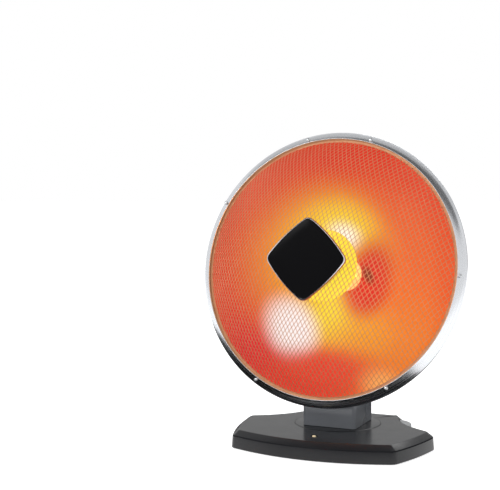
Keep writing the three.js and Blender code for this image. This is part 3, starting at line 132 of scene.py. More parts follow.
class Paint:
    """A material's node tree, with short calls for the nodes that these materials share."""

    def __init__(self, name, colour, roughness, metallic=0.0, **sockets):
        self.material = bpy.data.materials.new(name)
        self.material.use_nodes = True
        self.tree = self.material.node_tree
        self.shader = self.tree.nodes["Principled BSDF"]
        self.shader.inputs["Base Color"].default_value = colour
        self.shader.inputs["Roughness"].default_value = roughness
        self.shader.inputs["Metallic"].default_value = metallic
        for key, value in sockets.items():
            self.shader.inputs[key.replace("_", " ")].default_value = value

    def node(self, kind, **settings):
        made = self.tree.nodes.new(kind)
        for key, value in settings.items():
            if isinstance(value, bpy.types.NodeSocket):
                self.tree.links.new(value, made.inputs[key])
            elif key in made.inputs:
                made.inputs[key].default_value = value
            else:
                setattr(made, key, value)
        return made

    def link(self, a, b):
        self.tree.links.new(a, b)

    def place(self):
        """Object coordinates: each piece's own frame, so they move with it."""
        return self.node("ShaderNodeTexCoord").outputs["Object"]

    def place_in_dish(self):
        """Object coordinates in the dish's own frame, whose Y is its axis."""
        turned = self.node("ShaderNodeMapping", vector_type="TEXTURE")
        turned.inputs["Location"].default_value = DISH_PLACE
        turned.inputs["Rotation"].default_value = (DISH_LEAN, 0, 0)
        self.link(self.place(), turned.inputs["Vector"])
        return turned.outputs["Vector"]

    def dish_radius(self):
        """How far a place is from the dish's axis, and where along it."""
        split = self.node("ShaderNodeSeparateXYZ", Vector=self.place_in_dish())
        flat = self.node("ShaderNodeCombineXYZ", X=split.outputs["X"], Y=split.outputs["Z"])
        length = self.node("ShaderNodeVectorMath", operation="LENGTH")
        self.link(flat.outputs[0], length.inputs[0])
        return length.outputs["Value"], split.outputs["Y"]

    def noise(self, scale, detail=3.0, vector=None):
        node = self.node("ShaderNodeTexNoise", Scale=scale, Detail=detail, Roughness=0.5)
        self.link(vector or self.place(), node.inputs["Vector"])
        return node.outputs["Fac"]

    def math(self, operation, a, b):
        node = self.node("ShaderNodeMath", operation=operation)
        for i, value in enumerate((a, b)):
            if isinstance(value, bpy.types.NodeSocket):
                self.link(value, node.inputs[i])
            else:
                node.inputs[i].default_value = value
        return node.outputs[0]

    def spread(self, value, low, high):
        """A noise's values brought to the range from low to high."""
        node = self.node("ShaderNodeMapRange")
        self.link(value, node.inputs["Value"])
        for key, number in zip(("From Min", "From Max", "To Min", "To Max"), (*NOISE_RANGE, low, high)):
            node.inputs[key].default_value = number
        return node.outputs["Result"]

    def ramp(self, value, stops, mode="LINEAR"):
        node = self.node("ShaderNodeValToRGB")
        node.color_ramp.interpolation = mode
        while len(node.color_ramp.elements) < len(stops):
            node.color_ramp.elements.new(0.5)
        for element, (at, colour) in zip(node.color_ramp.elements, stops):
            element.position, element.color = at, colour
        self.link(value, node.inputs["Fac"])
        return node.outputs["Color"]

    def mix(self, share, a, b):
        node = self.node("ShaderNodeMix", data_type="RGBA", blend_type="MIX")
        for index, value in ((0, share), (6, a), (7, b)):
            if isinstance(value, bpy.types.NodeSocket):
                self.link(value, node.inputs[index])
            else:
                node.inputs[index].default_value = value
        return node.outputs[2]

    def bump(self, height, strength, distance):
        node = self.node("ShaderNodeBump", Strength=strength, Distance=distance)
        self.link(height, node.inputs["Height"])
        self.link(node.outputs["Normal"], self.shader.inputs["Normal"])
        return self

    def colour(self, socket):
        self.link(socket, self.shader.inputs["Base Color"])
        return self

    def rough(self, socket):
        self.link(socket, self.shader.inputs["Roughness"])
        return self

    def glow(self, socket, strength):
        self.link(socket, self.shader.inputs["Emission Color"])
        self.shader.inputs["Emission Strength"].default_value = strength
        return self


def moulded(name, colour, roughness, grain, **sockets):
    """Moulded plastic: faint flow in its colour, handling marks in its gloss, and a fine skin."""
    paint = Paint(name, colour, roughness, **sockets)
    paint.colour(paint.mix(paint.noise(18, 4), darker(colour, 0.82), colour))
    paint.rough(paint.spread(paint.noise(60, 4), roughness * 0.92, roughness * 1.1))
    return paint.bump(paint.noise(2600, 2), grain, 0.0002)


def steel(name, colour, roughness):
    """Plated steel: fine marks in its gloss and a slight change of tone."""
    paint = Paint(name, colour, roughness, 1.0)
    marks = paint.noise(500, 3)
    paint.colour(paint.mix(paint.noise(30, 3), darker(colour, 0.8), colour))
    paint.rough(paint.spread(marks, roughness * 0.7, roughness * 1.4))
    return paint.bump(marks, 0.06, 0.0001)


def powder_coat(name, colour, roughness):
    """Powder-coated sheet: an orange-peel skin and a slow change of tone."""
    paint = Paint(name, colour, roughness)
    paint.rough(paint.spread(paint.noise(40, 5), roughness * 0.85, roughness * 1.2))
    paint.colour(paint.mix(paint.noise(12, 3), darker(colour, 0.75), colour))
    return paint.bump(paint.noise(900, 3), 0.25, 0.0003)


base_gloss = moulded("base_gloss", rgb(30, 31, 34), 0.22, 0.03, IOR=1.38)
neck_gloss = moulded("neck_gloss", rgb(112, 115, 120), 0.24, 0.03)
black_satin = moulded("black_satin", rgb(38, 38, 40), 0.5, 0.25)
light_grey = moulded("light_grey", rgb(186, 188, 190), 0.42, 0.15)
rubber = moulded("rubber", rgb(30, 30, 30), 0.85, 0.5)
badge_black = moulded("badge_black", rgb(5, 5, 7), 0.2, 0.02, Specular_IOR_Level=0.06)
zinc = steel("zinc", rgb(176, 178, 182), 0.32)
screw_steel = steel("screw_steel", rgb(196, 198, 200), 0.25)
grey_steel = steel("grey_steel", rgb(120, 122, 126), 0.4)
bezel_silver = steel("bezel_silver", rgb(214, 216, 220), 0.16)
housing_paint = powder_coat("housing_paint", rgb(46, 47, 50), 0.42)
plate_paint = powder_coat("plate_paint", rgb(50, 51, 54), 0.5)


def ring_chrome_material():
    """Satin chrome, spun: fine lines that follow the ring."""
    paint = Paint("ring_chrome", rgb(208, 210, 214), 0.17, 1.0)
    radius, along = paint.dish_radius()
    lines = paint.node("ShaderNodeCombineXYZ", X=radius, Y=along)
    spun = paint.noise(4200, 2, lines.outputs[0])
    paint.rough(paint.spread(spun, 0.22, 0.3))
    paint.bump(spun, 0.015, 0.00005)
    return paint.colour(paint.mix(paint.noise(9, 3), rgb(206, 208, 212), rgb(218, 220, 223)))


ring_chrome = ring_chrome_material()


def wire_material():
    # The wires' pale orange colour is painted light, standing in for the element's glow on them; its tone
    # also differs at random.
    paint = Paint("net_wire_painted_glow", rgb(204, 142, 100), 0.42, 0.4)
    tone = paint.noise(140, 3)
    paint.colour(paint.mix(tone, rgb(194, 128, 88), rgb(214, 158, 118)))
    return paint.rough(paint.spread(paint.noise(900, 2), 0.28, 0.5))


net_wire_painted_glow = wire_material()


# Painted light on the bowl: spots of painted glow, painted highlights and reflections of the element, and
# painted dark places; middle across and up, half sizes and turn, then colour and weight
PAINTED_LIGHT_SPOTS = [
    ((60, -10, 190, 190, 0), rgb(236, 102, 38), 0.9),
    ((-130, 80, 130, 170, 30), rgb(218, 36, 30), 0.9),
    ((-140, -20, 70, 90, 0), rgb(222, 50, 36), 0.7),
    ((-104, -112, 110, 84, 0), rgb(222, 32, 44), 1.0),
    ((96, -100, 130, 120, 40), rgb(236, 128, 34), 0.9),
    ((-40, 14, 140, 140, 0), rgb(246, 168, 34), 1.0),
    ((-14, 30, 108, 112, 0), rgb(252, 214, 42), 1.0),
    ((-10, 52, 74, 66, 0), rgb(252, 224, 54), 0.9),
    ((-12, -52, 88, 76, -24), rgb(252, 224, 44), 1.0),
    ((34, -80, 80, 60, 0), rgb(244, 166, 38), 0.7),
    ((-4, 50, 40, 30, 20), rgb(255, 255, 236), 1.0),
    ((-62, -76, 44, 70, -36), rgb(255, 246, 242), 1.0),
    ((-62, -76, 44, 66, -36), rgb(255, 248, 246), 1.0),
    ((33, -1, 58, 80, 12), rgb(212, 18, 26), 1.0),
    ((33, -1, 50, 70, 12), rgb(206, 14, 24), 1.0),
    ((28, -22, 52, 58, 0), rgb(212, 20, 28), 1.0),
    ((31, 0, 12, 22, -30), rgb(84, 14, 18), 1.0),
    ((-10, -128, 120, 46, 0), rgb(228, 52, 34), 1.0),
    ((84, -146, 60, 34, 20), rgb(250, 180, 100), 0.8),
]


def painted_light_spot(paint, x, z, across, tall, turn):
    """The mask of one painted light spot: 1 at a place on the dish, falling to 0 at the edge of an ellipse
    about it (dish frame, mm).
    """
    node = paint.node("ShaderNodeMapping", vector_type="TEXTURE")
    node.inputs["Location"].default_value = (x * MM, 0, z * MM)
    node.inputs["Rotation"].default_value = (0, math.radians(turn), 0)
    node.inputs["Scale"].default_value = (across * MM, 1000, tall * MM)
    paint.link(paint.place_in_dish(), node.inputs["Vector"])
    ball = paint.node("ShaderNodeTexGradient", gradient_type="SPHERICAL")
    paint.link(node.outputs["Vector"], ball.inputs["Vector"])
    fall = paint.node("ShaderNodeMapRange", interpolation_type="SMOOTHERSTEP", Value=ball.outputs["Fac"])
    return fall.outputs["Result"]


def reflector_material():
    """Polished, spun sheet whose light from the element is painted on as emission: yellow about the middle,
    orange, then red at the rim, with painted highlights and dark spots over it.
    """
    # The dark red base colour and the glow stand in for the element's light; the bowl itself is no lamp.
    paint = Paint("reflector_painted_glow", rgb(60, 18, 12), 0.42, 0.3)
    radius, _ = paint.dish_radius()
    wander = paint.math("MULTIPLY", paint.math("SUBTRACT", paint.noise(11, 4), 0.5), 0.22)
    share = paint.math("ADD", paint.math("DIVIDE", radius, RIM * MM), wander)
    stops = [
        (0.0, rgb(244, 130, 34)), (0.35, rgb(238, 104, 34)), (0.6, rgb(230, 72, 34)),
        (0.85, rgb(222, 46, 32)), (1.0, rgb(230, 84, 58)),
    ]
    glow = paint.ramp(share, stops, "EASE")
    # Lay each painted highlight, reflection or dark spot over the painted glow.
    for where, colour, weight in PAINTED_LIGHT_SPOTS:
        glow = paint.mix(paint.math("MULTIPLY", painted_light_spot(paint, *where), weight), glow, colour)
    paint.glow(glow, 0.95)
    rings = paint.noise(700, 2, paint.node("ShaderNodeCombineXYZ", X=radius).outputs[0])
    return paint.bump(rings, 0.08, 0.0003)


reflector_painted_glow = reflector_material()


def disc_material():
    """The guard disc: the same bright sheet, with a near-yellow glow painted on as emission where the element
    is close to it, and an orange-brown colour painted for that light.
    """
    paint = Paint("guard_painted_glow", rgb(120, 70, 20), 0.35, 0.5)
    tone = paint.noise(16, 3)
    glow = paint.mix(tone, rgb(248, 218, 44), rgb(252, 236, 74))
    paint.colour(paint.mix(tone, rgb(110, 64, 18), rgb(130, 78, 24)))
    return paint.glow(glow, 1.0)


guard_painted_glow = disc_material()


def hot_ceramic_material():
    paint = Paint("hot_ceramic", rgb(240, 214, 170), 0.75)
    heat = paint.mix(paint.noise(60, 4), rgb(255, 120, 30), rgb(255, 176, 70))
    paint.colour(paint.mix(paint.noise(240, 4), rgb(226, 200, 160), rgb(246, 226, 190)))
    paint.glow(heat, 0.7)
    return paint.bump(paint.noise(900, 4), 0.3, 0.0004)


hot_ceramic = hot_ceramic_material()


def hot_wire_material():
    paint = Paint("hot_wire", rgb(255, 130, 40), 0.5)
    heat = paint.mix(paint.noise(50, 2), rgb(255, 110, 20), rgb(255, 196, 90))
    paint.colour(heat)
    return paint.glow(heat, 5.0)


hot_wire = hot_wire_material()


def lamp_material():
    paint = Paint("lamp_lens", rgb(226, 210, 170), 0.3)
    milk = paint.mix(paint.noise(400, 3), rgb(222, 202, 156), rgb(232, 216, 180))
    paint.colour(milk)
    return paint.glow(milk, 0.1)


lamp_lens = lamp_material()


# ------------------------------------------------------------------ mesh helpers
def shade(mesh, sharp=SHARP):
    mesh.shade_smooth()
    mesh.set_sharp_from_angle(angle=math.radians(sharp))


def smooth_object(name, mesh, paint, sharp=SHARP):
    mesh.materials.clear()
    mesh.materials.append(paint.material)
    shade(mesh, sharp)
    made = bpy.data.objects.new(name, mesh)
    scene.collection.objects.link(made)
    return made


def from_data(name, verts, faces, paint, sharp):
    mesh = bpy.data.meshes.new(name)
    mesh.from_pydata([tuple(v) for v in verts], [], faces)
    bm = bmesh.new()
    bm.from_mesh(mesh)
    bmesh.ops.remove_doubles(bm, verts=bm.verts, dist=1e-7)
    bmesh.ops.recalc_face_normals(bm, faces=bm.faces)
    bm.to_mesh(mesh)
    bm.free()
    return smooth_object(name, mesh, paint, sharp)


def loops_mesh(name, loops, paint, closed=False, caps=False, sharp=SHARP):
    """A skin through loops of equally many points, each loop an (n, 3) array in mm."""
    count = len(loops[0])
    verts = np.vstack(loops) * MM
    faces = []
    for i in range(len(loops) if closed else len(loops) - 1):
        a, b = i * count, ((i + 1) % len(loops)) * count
        faces += [(a + k, a + (k + 1) % count, b + (k + 1) % count, b + k) for k in range(count)]
    if caps:
        faces.append(tuple(range(count))[::-1])
        faces.append(tuple(range((len(loops) - 1) * count, len(loops) * count)))
    return from_data(name, verts, faces, paint, sharp)


def bezier(a, b, c, t):
    return a * (1 - t) ** 2 + b * (2 * t * (1 - t)) + c * t ** 2


def fillet(points, radius, steps=4):
    """A polygon's corners rounded, each by at most `radius` and a share of its sides."""
    points = [Vector(p) for p in points]
    out = []
    for i, corner in enumerate(points):
        before, after = points[i - 1] - corner, points[(i + 1) % len(points)] - corner
        reach = min(radius, before.length * 0.45, after.length * 0.45)
        start = corner + before.normalized() * reach
        end = corner + after.normalized() * reach
        out += [bezier(start, corner, end, k / steps) for k in range(steps + 1)]
    return out


def lathe(name, profile, paint, segments, axis="Y"):
    """A closed [radius, along] profile turned about an axis."""
    angles = np.arange(segments) / segments * TAU
    loops = []
    for radius, along in profile:
        across, up = radius * np.cos(angles), radius * np.sin(angles)
        level = np.full(segments, along)
        loops.append(np.c_[across, level, up] if axis == "Y" else np.c_[across, up, level])
    return loops_mesh(name, loops, paint, closed=True)


def tubes(name, lines, radius, sides, paint, ups):
    """Round wires along lines of points (mm), each with its own 'up' directions, closed at both ends."""
    verts, faces = [], []
    angles = np.arange(sides) / sides * TAU
    start = 0
    for line, up in zip(lines, ups):
        along = np.gradient(line, axis=0)
        along /= np.linalg.norm(along, axis=1)[:, None]
        side = np.cross(along, up)
        side /= np.linalg.norm(side, axis=1)[:, None]
        top = np.cross(side, along)
        ring = np.cos(angles)[None, :, None] * side[:, None] + np.sin(angles)[None, :, None] * top[:, None]
        verts.append((line[:, None] + radius * ring).reshape(-1, 3))
        for i in range(len(line) - 1):
            a = start + i * sides
            b = a + sides
            faces += [(a + k, a + (k + 1) % sides, b + (k + 1) % sides, b + k) for k in range(sides)]
        last = start + (len(line) - 1) * sides
        faces += [tuple(range(start, start + sides))[::-1], tuple(range(last, last + sides))]
        start = last + sides
    mesh = bpy.data.meshes.new(name)
    mesh.from_pydata([tuple(v) for v in np.vstack(verts) * MM], [], faces)
    return smooth_object(name, mesh, paint, 60)


def bake_modifiers(obj):
    graph = bpy.context.evaluated_depsgraph_get()
    mesh = bpy.data.meshes.new_from_object(obj.evaluated_get(graph))
    obj.modifiers.clear()
    obj.data = mesh
    return obj


def cut(obj, *cutters):
    for cutter in cutters:
        tool = obj.modifiers.new("cut", "BOOLEAN")
        tool.operation, tool.solver, tool.object = "DIFFERENCE", "EXACT", cutter
        bpy.context.view_layer.update()
        bake_modifiers(obj)
        bpy.data.objects.remove(cutter)
    shade(obj.data)
    return obj


def dress(obj, body, slot, *nodes):
    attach(obj, body)
    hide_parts(*nodes)
    return obj


def dress_in_dish(obj, slot, node):
    """A piece that was drawn in the dish's own frame, its mesh put where the dish is."""
    obj.data.transform(Matrix.Translation(DISH_PLACE) @ Matrix.Rotation(DISH_LEAN, 4, "X"))
    return dress(obj, "dish", slot, node)


SLOT_OF = {row["node"]: row["material_slot"] for row in frame["record"]["subparts"]}
BODY_OF = {node: body for body, nodes in frame["record"]["behaviour"]["bodies"].items() for node in nodes}


def refined(node, paint, width=0.3):
    """A CAD piece's own mesh, its flat facets joined, its edges broken and its round sides smooth."""
    bm = bmesh.new()
    bm.from_mesh(frame["nodes"][node].data)
    bmesh.ops.remove_doubles(bm, verts=bm.verts, dist=2e-6)
    bmesh.ops.dissolve_limit(bm, angle_limit=math.radians(1), verts=bm.verts, edges=bm.edges)
    mesh = bpy.data.meshes.new(node + "_fine")
    bm.to_mesh(mesh)
    bm.free()
    made = smooth_object(node + "_fine", mesh, paint)
    edge = made.modifiers.new("edge", "BEVEL")
    edge.width, edge.segments, edge.limit_method = width * MM, 2, "ANGLE"
    edge.angle_limit, edge.use_clamp_overlap = math.radians(40), True
    bpy.context.view_layer.update()
    bake_modifiers(made)
    shade(made.data)
    return dress(made, BODY_OF[node], SLOT_OF[node], node)


# ------------------------------------------------------------------ dish: ring, reflector, housing
def build_ring():
    face = [
        (BAND_INNER, 0.3), (BAND_INNER, -CROWN + 1.0), (BAND_INNER + 0.7, -CROWN),
        (BAND_INNER + 4.6, -CROWN + 2.3), (BAND_INNER + 7.9, 1.2), (RIM - 0.7, 3.7), (RIM, 4.6),
        (RIM, 8.6), (RIM - 0.5, 9.5), (RIM - 1.6, 9.5), (RIM - 1.6, 5.4), (RIM - 3.4, 2.5), (RIM - 6.4, 0.3),
    ]
    ring = lathe("grille_ring_smooth", fillet(face, 0.9), ring_chrome, 240)
    dress_in_dish(ring, "ring_chrome", "grille_ring")


def bowl(rim, rim_y, depth, radius):
    return rim_y + depth * (1 - (radius / rim) ** 2)


def build_reflector():
    radii = np.linspace(REFLECTOR_SEAT, REFLECTOR_RIM, 36)
    inner = [(r, bowl(REFLECTOR_RIM, REFLECTOR_RIM_Y, REFLECTOR_DEPTH, r)) for r in radii]
    outer = [(r + 0.1, y + REFLECTOR_WALL) for r, y in inner[::-1]]
    flange = [(HOUSING_RIM - 1, REFLECTOR_RIM_Y), (HOUSING_RIM - 1, REFLECTOR_RIM_Y + REFLECTOR_WALL)]
    back = (REFLECTOR_HOLE, inner[0][1] + REFLECTOR_WALL)
    profile = [(REFLECTOR_HOLE, inner[0][1]), *inner, *flange, *outer, back]
    # The bowl's front face takes the painted glow, its back grey steel.
    made = lathe("reflector_smooth", profile, reflector_painted_glow, 160)
    made.data.materials.append(grey_steel.material)
    for face in made.data.polygons:
        face.material_index = int(face.normal.y > 0)
    dress_in_dish(made, "reflector", "reflector")


def build_housing():
    radii = np.linspace(HOUSING_HOLE, HOUSING_RIM, 40)
    base = HOUSING_RIM_Y + HOUSING_WALL
    outer = [(r, bowl(HOUSING_RIM, base, HOUSING_DEPTH, r)) for r in radii]
    lip = [(HOUSING_RIM, HOUSING_RIM_Y), (BAND_INNER, HOUSING_RIM_Y), (BAND_INNER, base)]
    inner = [(r - 1.3, bowl(HOUSING_RIM, base - 1.1, HOUSING_DEPTH, r)) for r in radii[::-1]]
    made = lathe("rear_housing_smooth", [*outer, *lip, *inner[1:]], housing_paint, 160)
    dress_in_dish(made, "housing", "rear_housing")


# ------------------------------------------------------------------ dish: woven net
NET_FAMILIES = [(math.radians(-42), 4.5), (math.radians(22), 4.9)]  # direction across the wires, pitch
WIRE = 0.34


def dome_point(across, up, lift):
    """Places on the dome over flat places, raised by `lift` along its normal, and the normals there."""
    radius2 = across ** 2 + up ** 2
    height = np.sqrt(DOME_SPHERE ** 2 - radius2)
    normal = np.c_[across, -height, up] / DOME_SPHERE
    place = np.c_[across, HEM_FRONT - (height - (DOME_SPHERE - DOME)), up]
    return place + normal * lift[:, None], normal


def net_lines():
    """Two families of wires, each passing over and under the other's."""
    across_of = [np.array([math.cos(turn), math.sin(turn)]) for turn, _ in NET_FAMILIES]
    lines, ups = [], []
    for family, (_, pitch) in enumerate(NET_FAMILIES):
        normal, other = across_of[family], across_of[1 - family]
        along = np.array([-normal[1], normal[0]])
        other_pitch = NET_FAMILIES[1 - family][1]
        crossing = other_pitch / abs(along @ other)
        reach = int(HEM_INNER / pitch)
        for i in range(-reach, reach + 1):
            half = math.sqrt(max(HEM_INNER ** 2 - (i * pitch) ** 2, 0))
            if half < pitch:
                continue
            run = np.linspace(-half, half, max(3, int(4 * half / crossing) + 1))
            flat = i * pitch * normal + run[:, None] * along
            wave = np.cos(math.pi * (flat @ other / other_pitch + i)) * (WIRE if family else -WIRE)
            line, up = dome_point(flat[:, 0], flat[:, 1], wave)
            lines.append(line)
            ups.append(up)
    return lines, ups


def build_net():
    lines, ups = net_lines()
    # The wires and the hem take the painted orange glow colour.
    dress_in_dish(tubes("mesh_grille_woven", lines, WIRE, 6, net_wire_painted_glow, ups), "grille_wire", "mesh_grille")
    hem = [
        (HEM_INNER - 1.2, 0.0), (HEM_INNER + 1, HEM_FRONT), (HEM_OUTER, HEM_FRONT), (HEM_OUTER, HEM_BACK),
        (HEM_INNER - 0.6, HEM_BACK),
    ]
    dress_in_dish(lathe("grille_hem", fillet(hem, 0.5, 3), net_wire_painted_glow, 200), "grille_wire", "mesh_grille")


# ------------------------------------------------------------------ element and guard
FLANGE_BACK = bowl(REFLECTOR_RIM, REFLECTOR_RIM_Y, REFLECTOR_DEPTH, REFLECTOR_SEAT) - GAP
FLANGE_FRONT = FLANGE_BACK - FLANGE_THICKNESS
CORE_BACK = FLANGE_FRONT - GAP


def build_ceramics():
    base = [
        (ROD_HOLE, FLANGE_FRONT), (FLANGE_R, FLANGE_FRONT), (FLANGE_R, FLANGE_BACK), (CERAMIC_R, FLANGE_BACK),
        (CERAMIC_R, FLANGE_BACK + CERAMIC_LENGTH), (ROD_HOLE, FLANGE_BACK + CERAMIC_LENGTH),
    ]
    core = [(ROD_HOLE, CORE_FRONT)]
    for i in range(61):
        y = CORE_FRONT + (CORE_BACK - CORE_FRONT) * i / 60
        core.append((CORE_R - GROOVE_DEPTH * math.sin(TAU * i / 6) ** 2, y))
    core.append((ROD_HOLE, CORE_BACK))
    cap = [(ROD_HOLE, CAP_FRONT), (CAP_R, CAP_FRONT), (CAP_R, CAP_BACK), (ROD_HOLE, CAP_BACK)]
    for name, profile, segments, node in (
        ("element_base_smooth", fillet(base, 1.2), 96, "element_base"),
        ("element_core_smooth", core, 64, "element_core"),
        ("element_cap_smooth", fillet(cap, 0.8), 64, "element_front_cap"),
    ):
        dress_in_dish(lathe(name, profile, hot_ceramic, segments), "element_ceramic", node)


def build_coil():
    steps = 48
    turn = np.arange(COIL_LOOPS * steps + 1) / steps
    start = (CORE_FRONT + CORE_BACK) / 2 - COIL_LOOPS * COIL_PITCH / 2
    coil = np.c_[COIL_R * np.cos(TAU * turn), start + turn * COIL_PITCH, -COIL_R * np.sin(TAU * turn)]
    front = [coil[0, 0], CORE_FRONT, coil[0, 2] + COIL_TAIL]
    back = [coil[-1, 0], CORE_BACK, coil[-1, 2] - COIL_TAIL]
    coil = np.vstack([front, coil, back])
    up = np.c_[coil[:, 0], np.zeros(len(coil)), coil[:, 2]] / COIL_R
    wire = tubes("heating_coil_smooth", [coil], COIL_WIRE, 10, hot_wire, [up])
    dress_in_dish(wire, "element_wire", "heating_coil")


def build_guard():
    seat = GUARD_SEAT
    disc = [
        (ROD_HOLE, seat), (GUARD_FLAT_R, seat), (44.6, seat + 4.7), (45.6, seat + 5.2), (46, seat + 4.6),
        (45.4, seat + 3.9), (GUARD_FLAT_R, seat - 1), (ROD_HOLE, seat - 1),
    ]
    # The disc takes the painted glow.
    made = lathe("guard_disc_smooth", fillet(disc, 3), guard_painted_glow, 120)
    dress_in_dish(made, "reflector", "guard_disc")


# ------------------------------------------------------------------ badge
def bowed_edge(a, b, bow):
    along = (b - a) / np.linalg.norm(b - a)
    return a, (a + b) / 2 + 2 * bow * np.array([along[1], -along[0]]), b


def badge_outline(half):
    corners = [half * np.array([math.cos(i * math.pi / 2), math.sin(i * math.pi / 2)]) for i in range(4)]
    points = []
    for i, corner in enumerate(corners):
        before = bowed_edge(corners[i - 1], corner, BADGE_BOW)
        after = bowed_edge(corner, corners[(i + 1) % 4], BADGE_BOW)
        start, end = bezier(*before, 1 - BADGE_CORNER), bezier(*after, BADGE_CORNER)
        points += [bezier(start, corner, end, t) for t in np.linspace(0, 1, 9)]
        points += [bezier(*after, t) for t in np.linspace(BADGE_CORNER, 1 - BADGE_CORNER, 22)[1:-1]]
    return np.array(points)


def badge_loops(levels):
    loops = []
    for half, y in levels:
        outline = badge_outline(half)
        loops.append(np.c_[outline[:, 0], np.full(len(outline), y), outline[:, 1]])
    return loops


def build_badge():
    crossing = (NET_CELL - NET_BAR) / 2 * math.sqrt(2)
    back = HEM_FRONT - (math.sqrt(DOME_SPHERE ** 2 - crossing ** 2) - (DOME_SPHERE - DOME)) - GAP
    front = back - BADGE_THICKNESS
    half = BADGE_HALF
    rim = [
        (half - 6, back), (half - 0.8, back), (half, back - 0.8), (half, front + 1.3),
        (half - 0.7, front + 0.2), (half - 1.2, front), (half - 1.7, front + 0.2), (half - 2, front + 0.9),
        (half - 2, back - 2), (half - 6, back - 2),
    ]
    bezel = loops_mesh("badge_bezel_smooth", badge_loops(rim), bezel_silver, closed=True)
    dress_in_dish(bezel, "badge_rim", "badge_bezel")
    face = [
        (2, back - 2.3), (half - 2.3, back - 2.3), (half - 2.3, front + 1.1), (half - 2.8, front + 0.55),
        (half - 3.8, front + 0.4), (half * 0.7, front + 0.1), (half * 0.4, front), (2, front - 0.05),
    ]
    plate = loops_mesh("badge_plate_smooth", badge_loops(face), badge_black, caps=True)
    dress_in_dish(plate, "badge_face", "badge_plate")


# ------------------------------------------------------------------ base
# Corners of the plan, each with the bow of the edge after it and how far its rounding reaches
BASE_CORNERS = [
    (108, -98, 4, 5), (132.5, 1, -13, 13), (65.5, 80, 0, 6),
    (-65.5, 80, -13, 6), (-132.5, 1, 4, 13), (-108, -98, 23, 5),
]


def edge_length(edge):
    dots = np.array([bezier(*edge, t) for t in np.linspace(0, 1, 60)])
    return np.linalg.norm(np.diff(dots, axis=0), axis=1).sum()


def base_outline(inset, corner_steps=10, edge_steps=14):
    places = [np.array(c[:2], float) for c in BASE_CORNERS]
    edges = [bowed_edge(places[i], places[(i + 1) % 6], BASE_CORNERS[i][2]) for i in range(6)]
    points = []
    for i, corner in enumerate(places):
        before, after = edges[i - 1], edges[i]
        reach, next_reach = BASE_CORNERS[i][3], BASE_CORNERS[(i + 1) % 6][3]
        leave, arrive = reach / edge_length(after), 1 - reach / edge_length(before)
        last = 1 - next_reach / edge_length(after)
        start, end = bezier(*before, arrive), bezier(*after, leave)
        points += [bezier(start, corner, end, t) for t in np.linspace(0, 1, corner_steps + 1)]
        points += [bezier(*after, leave + (k / edge_steps) * (last - leave)) for k in range(1, edge_steps)]
    points = np.array(points)
    along = np.roll(points, -1, 0) - np.roll(points, 1, 0)
    along /= np.linalg.norm(along, axis=1)[:, None]
    return points + inset * np.c_[-along[:, 1], along[:, 0]]


def base_loop(inset, z):
    flat = base_outline(inset)
    return np.c_[flat[:, 0], flat[:, 1] + SWIVEL_Y, np.full(len(flat), z)]


def round_loop(radius, z):
    flat = base_outline(8)
    angle = np.arctan2(flat[:, 1], flat[:, 0])
    return np.c_[radius * np.cos(angle), radius * np.sin(angle) + SWIVEL_Y, np.full(len(flat), z)]


def cylinder(radius, z0, z1, x, y, segments=96):
    profile = [(0.01, z0), (radius, z0), (radius, z1), (0.01, z1)]
    made = lathe("cutter", profile, black_satin, segments, "Z")
    made.data.transform(Matrix.Translation((x * MM, (y + SWIVEL_Y) * MM, 0)))
    return made


def build_base():
    edge = [
        (0.5, 1.2), (0.06, 1.7), (1.14, 15.8), (1.24, 16.3), (1.6, 16.85), (2.3, 17.45), (5.2, 19.9),
        (8.8, 22.65), (9.3, 22.98), (9.7, 23.14), (10.2, BASE_TOP), (11.2, BASE_TOP),
    ]
    well = [
        (57.4, BASE_TOP), (56.7, BASE_TOP), (56.35, BASE_TOP - 0.3), (56.3, LEDGE_Z), (29.7, LEDGE_Z),
        (29.7, HUB_BOTTOM), (58.9, HUB_BOTTOM), (58.9, BASE_UNDER),
    ]
    inside = [(8.1, BASE_UNDER), (3.8, 16.5), (2.6, 1.2)]
    loops = [base_loop(inset, z) for inset, z in edge]
    loops += [round_loop(r, z) for r, z in well]
    loops += [base_loop(inset, z) for inset, z in inside]
    shell = loops_mesh("base_shell_smooth", loops, base_gloss, closed=True, sharp=28)
    slot = cylinder(DIAL_R + 0.9, DIAL_Z[0] - 0.3, DIAL_Z[1] + 0.3, *DIAL_CENTRE)
    recess = cylinder(4.8, BASE_TOP - 0.6, BASE_TOP + 1, 0, LAMP_Y, 48)
    hole = cylinder(2.7, 15, BASE_TOP + 1, 0, LAMP_Y, 48)
    cut(shell, slot, recess, hole)
    dress(shell, "base", "base_shell", "base_top_shell")


def build_turntable():
    disc = [
        (9, HUB_BOTTOM), (HUB_R, HUB_BOTTOM), (HUB_R, 21.6), (TURNTABLE_R, 21.6), (TURNTABLE_R, 22.9),
        (TURNTABLE_R - 0.8, TURNTABLE_TOP), (9, TURNTABLE_TOP),
    ]
    made = lathe("turntable_smooth", fillet(disc, 0.5, 3), base_gloss, 160, "Z")
    made.data.transform(Matrix.Translation((0, SWIVEL_Y * MM, 0)))
    dress(made, "neck", "neck_shell", "turntable_disc")


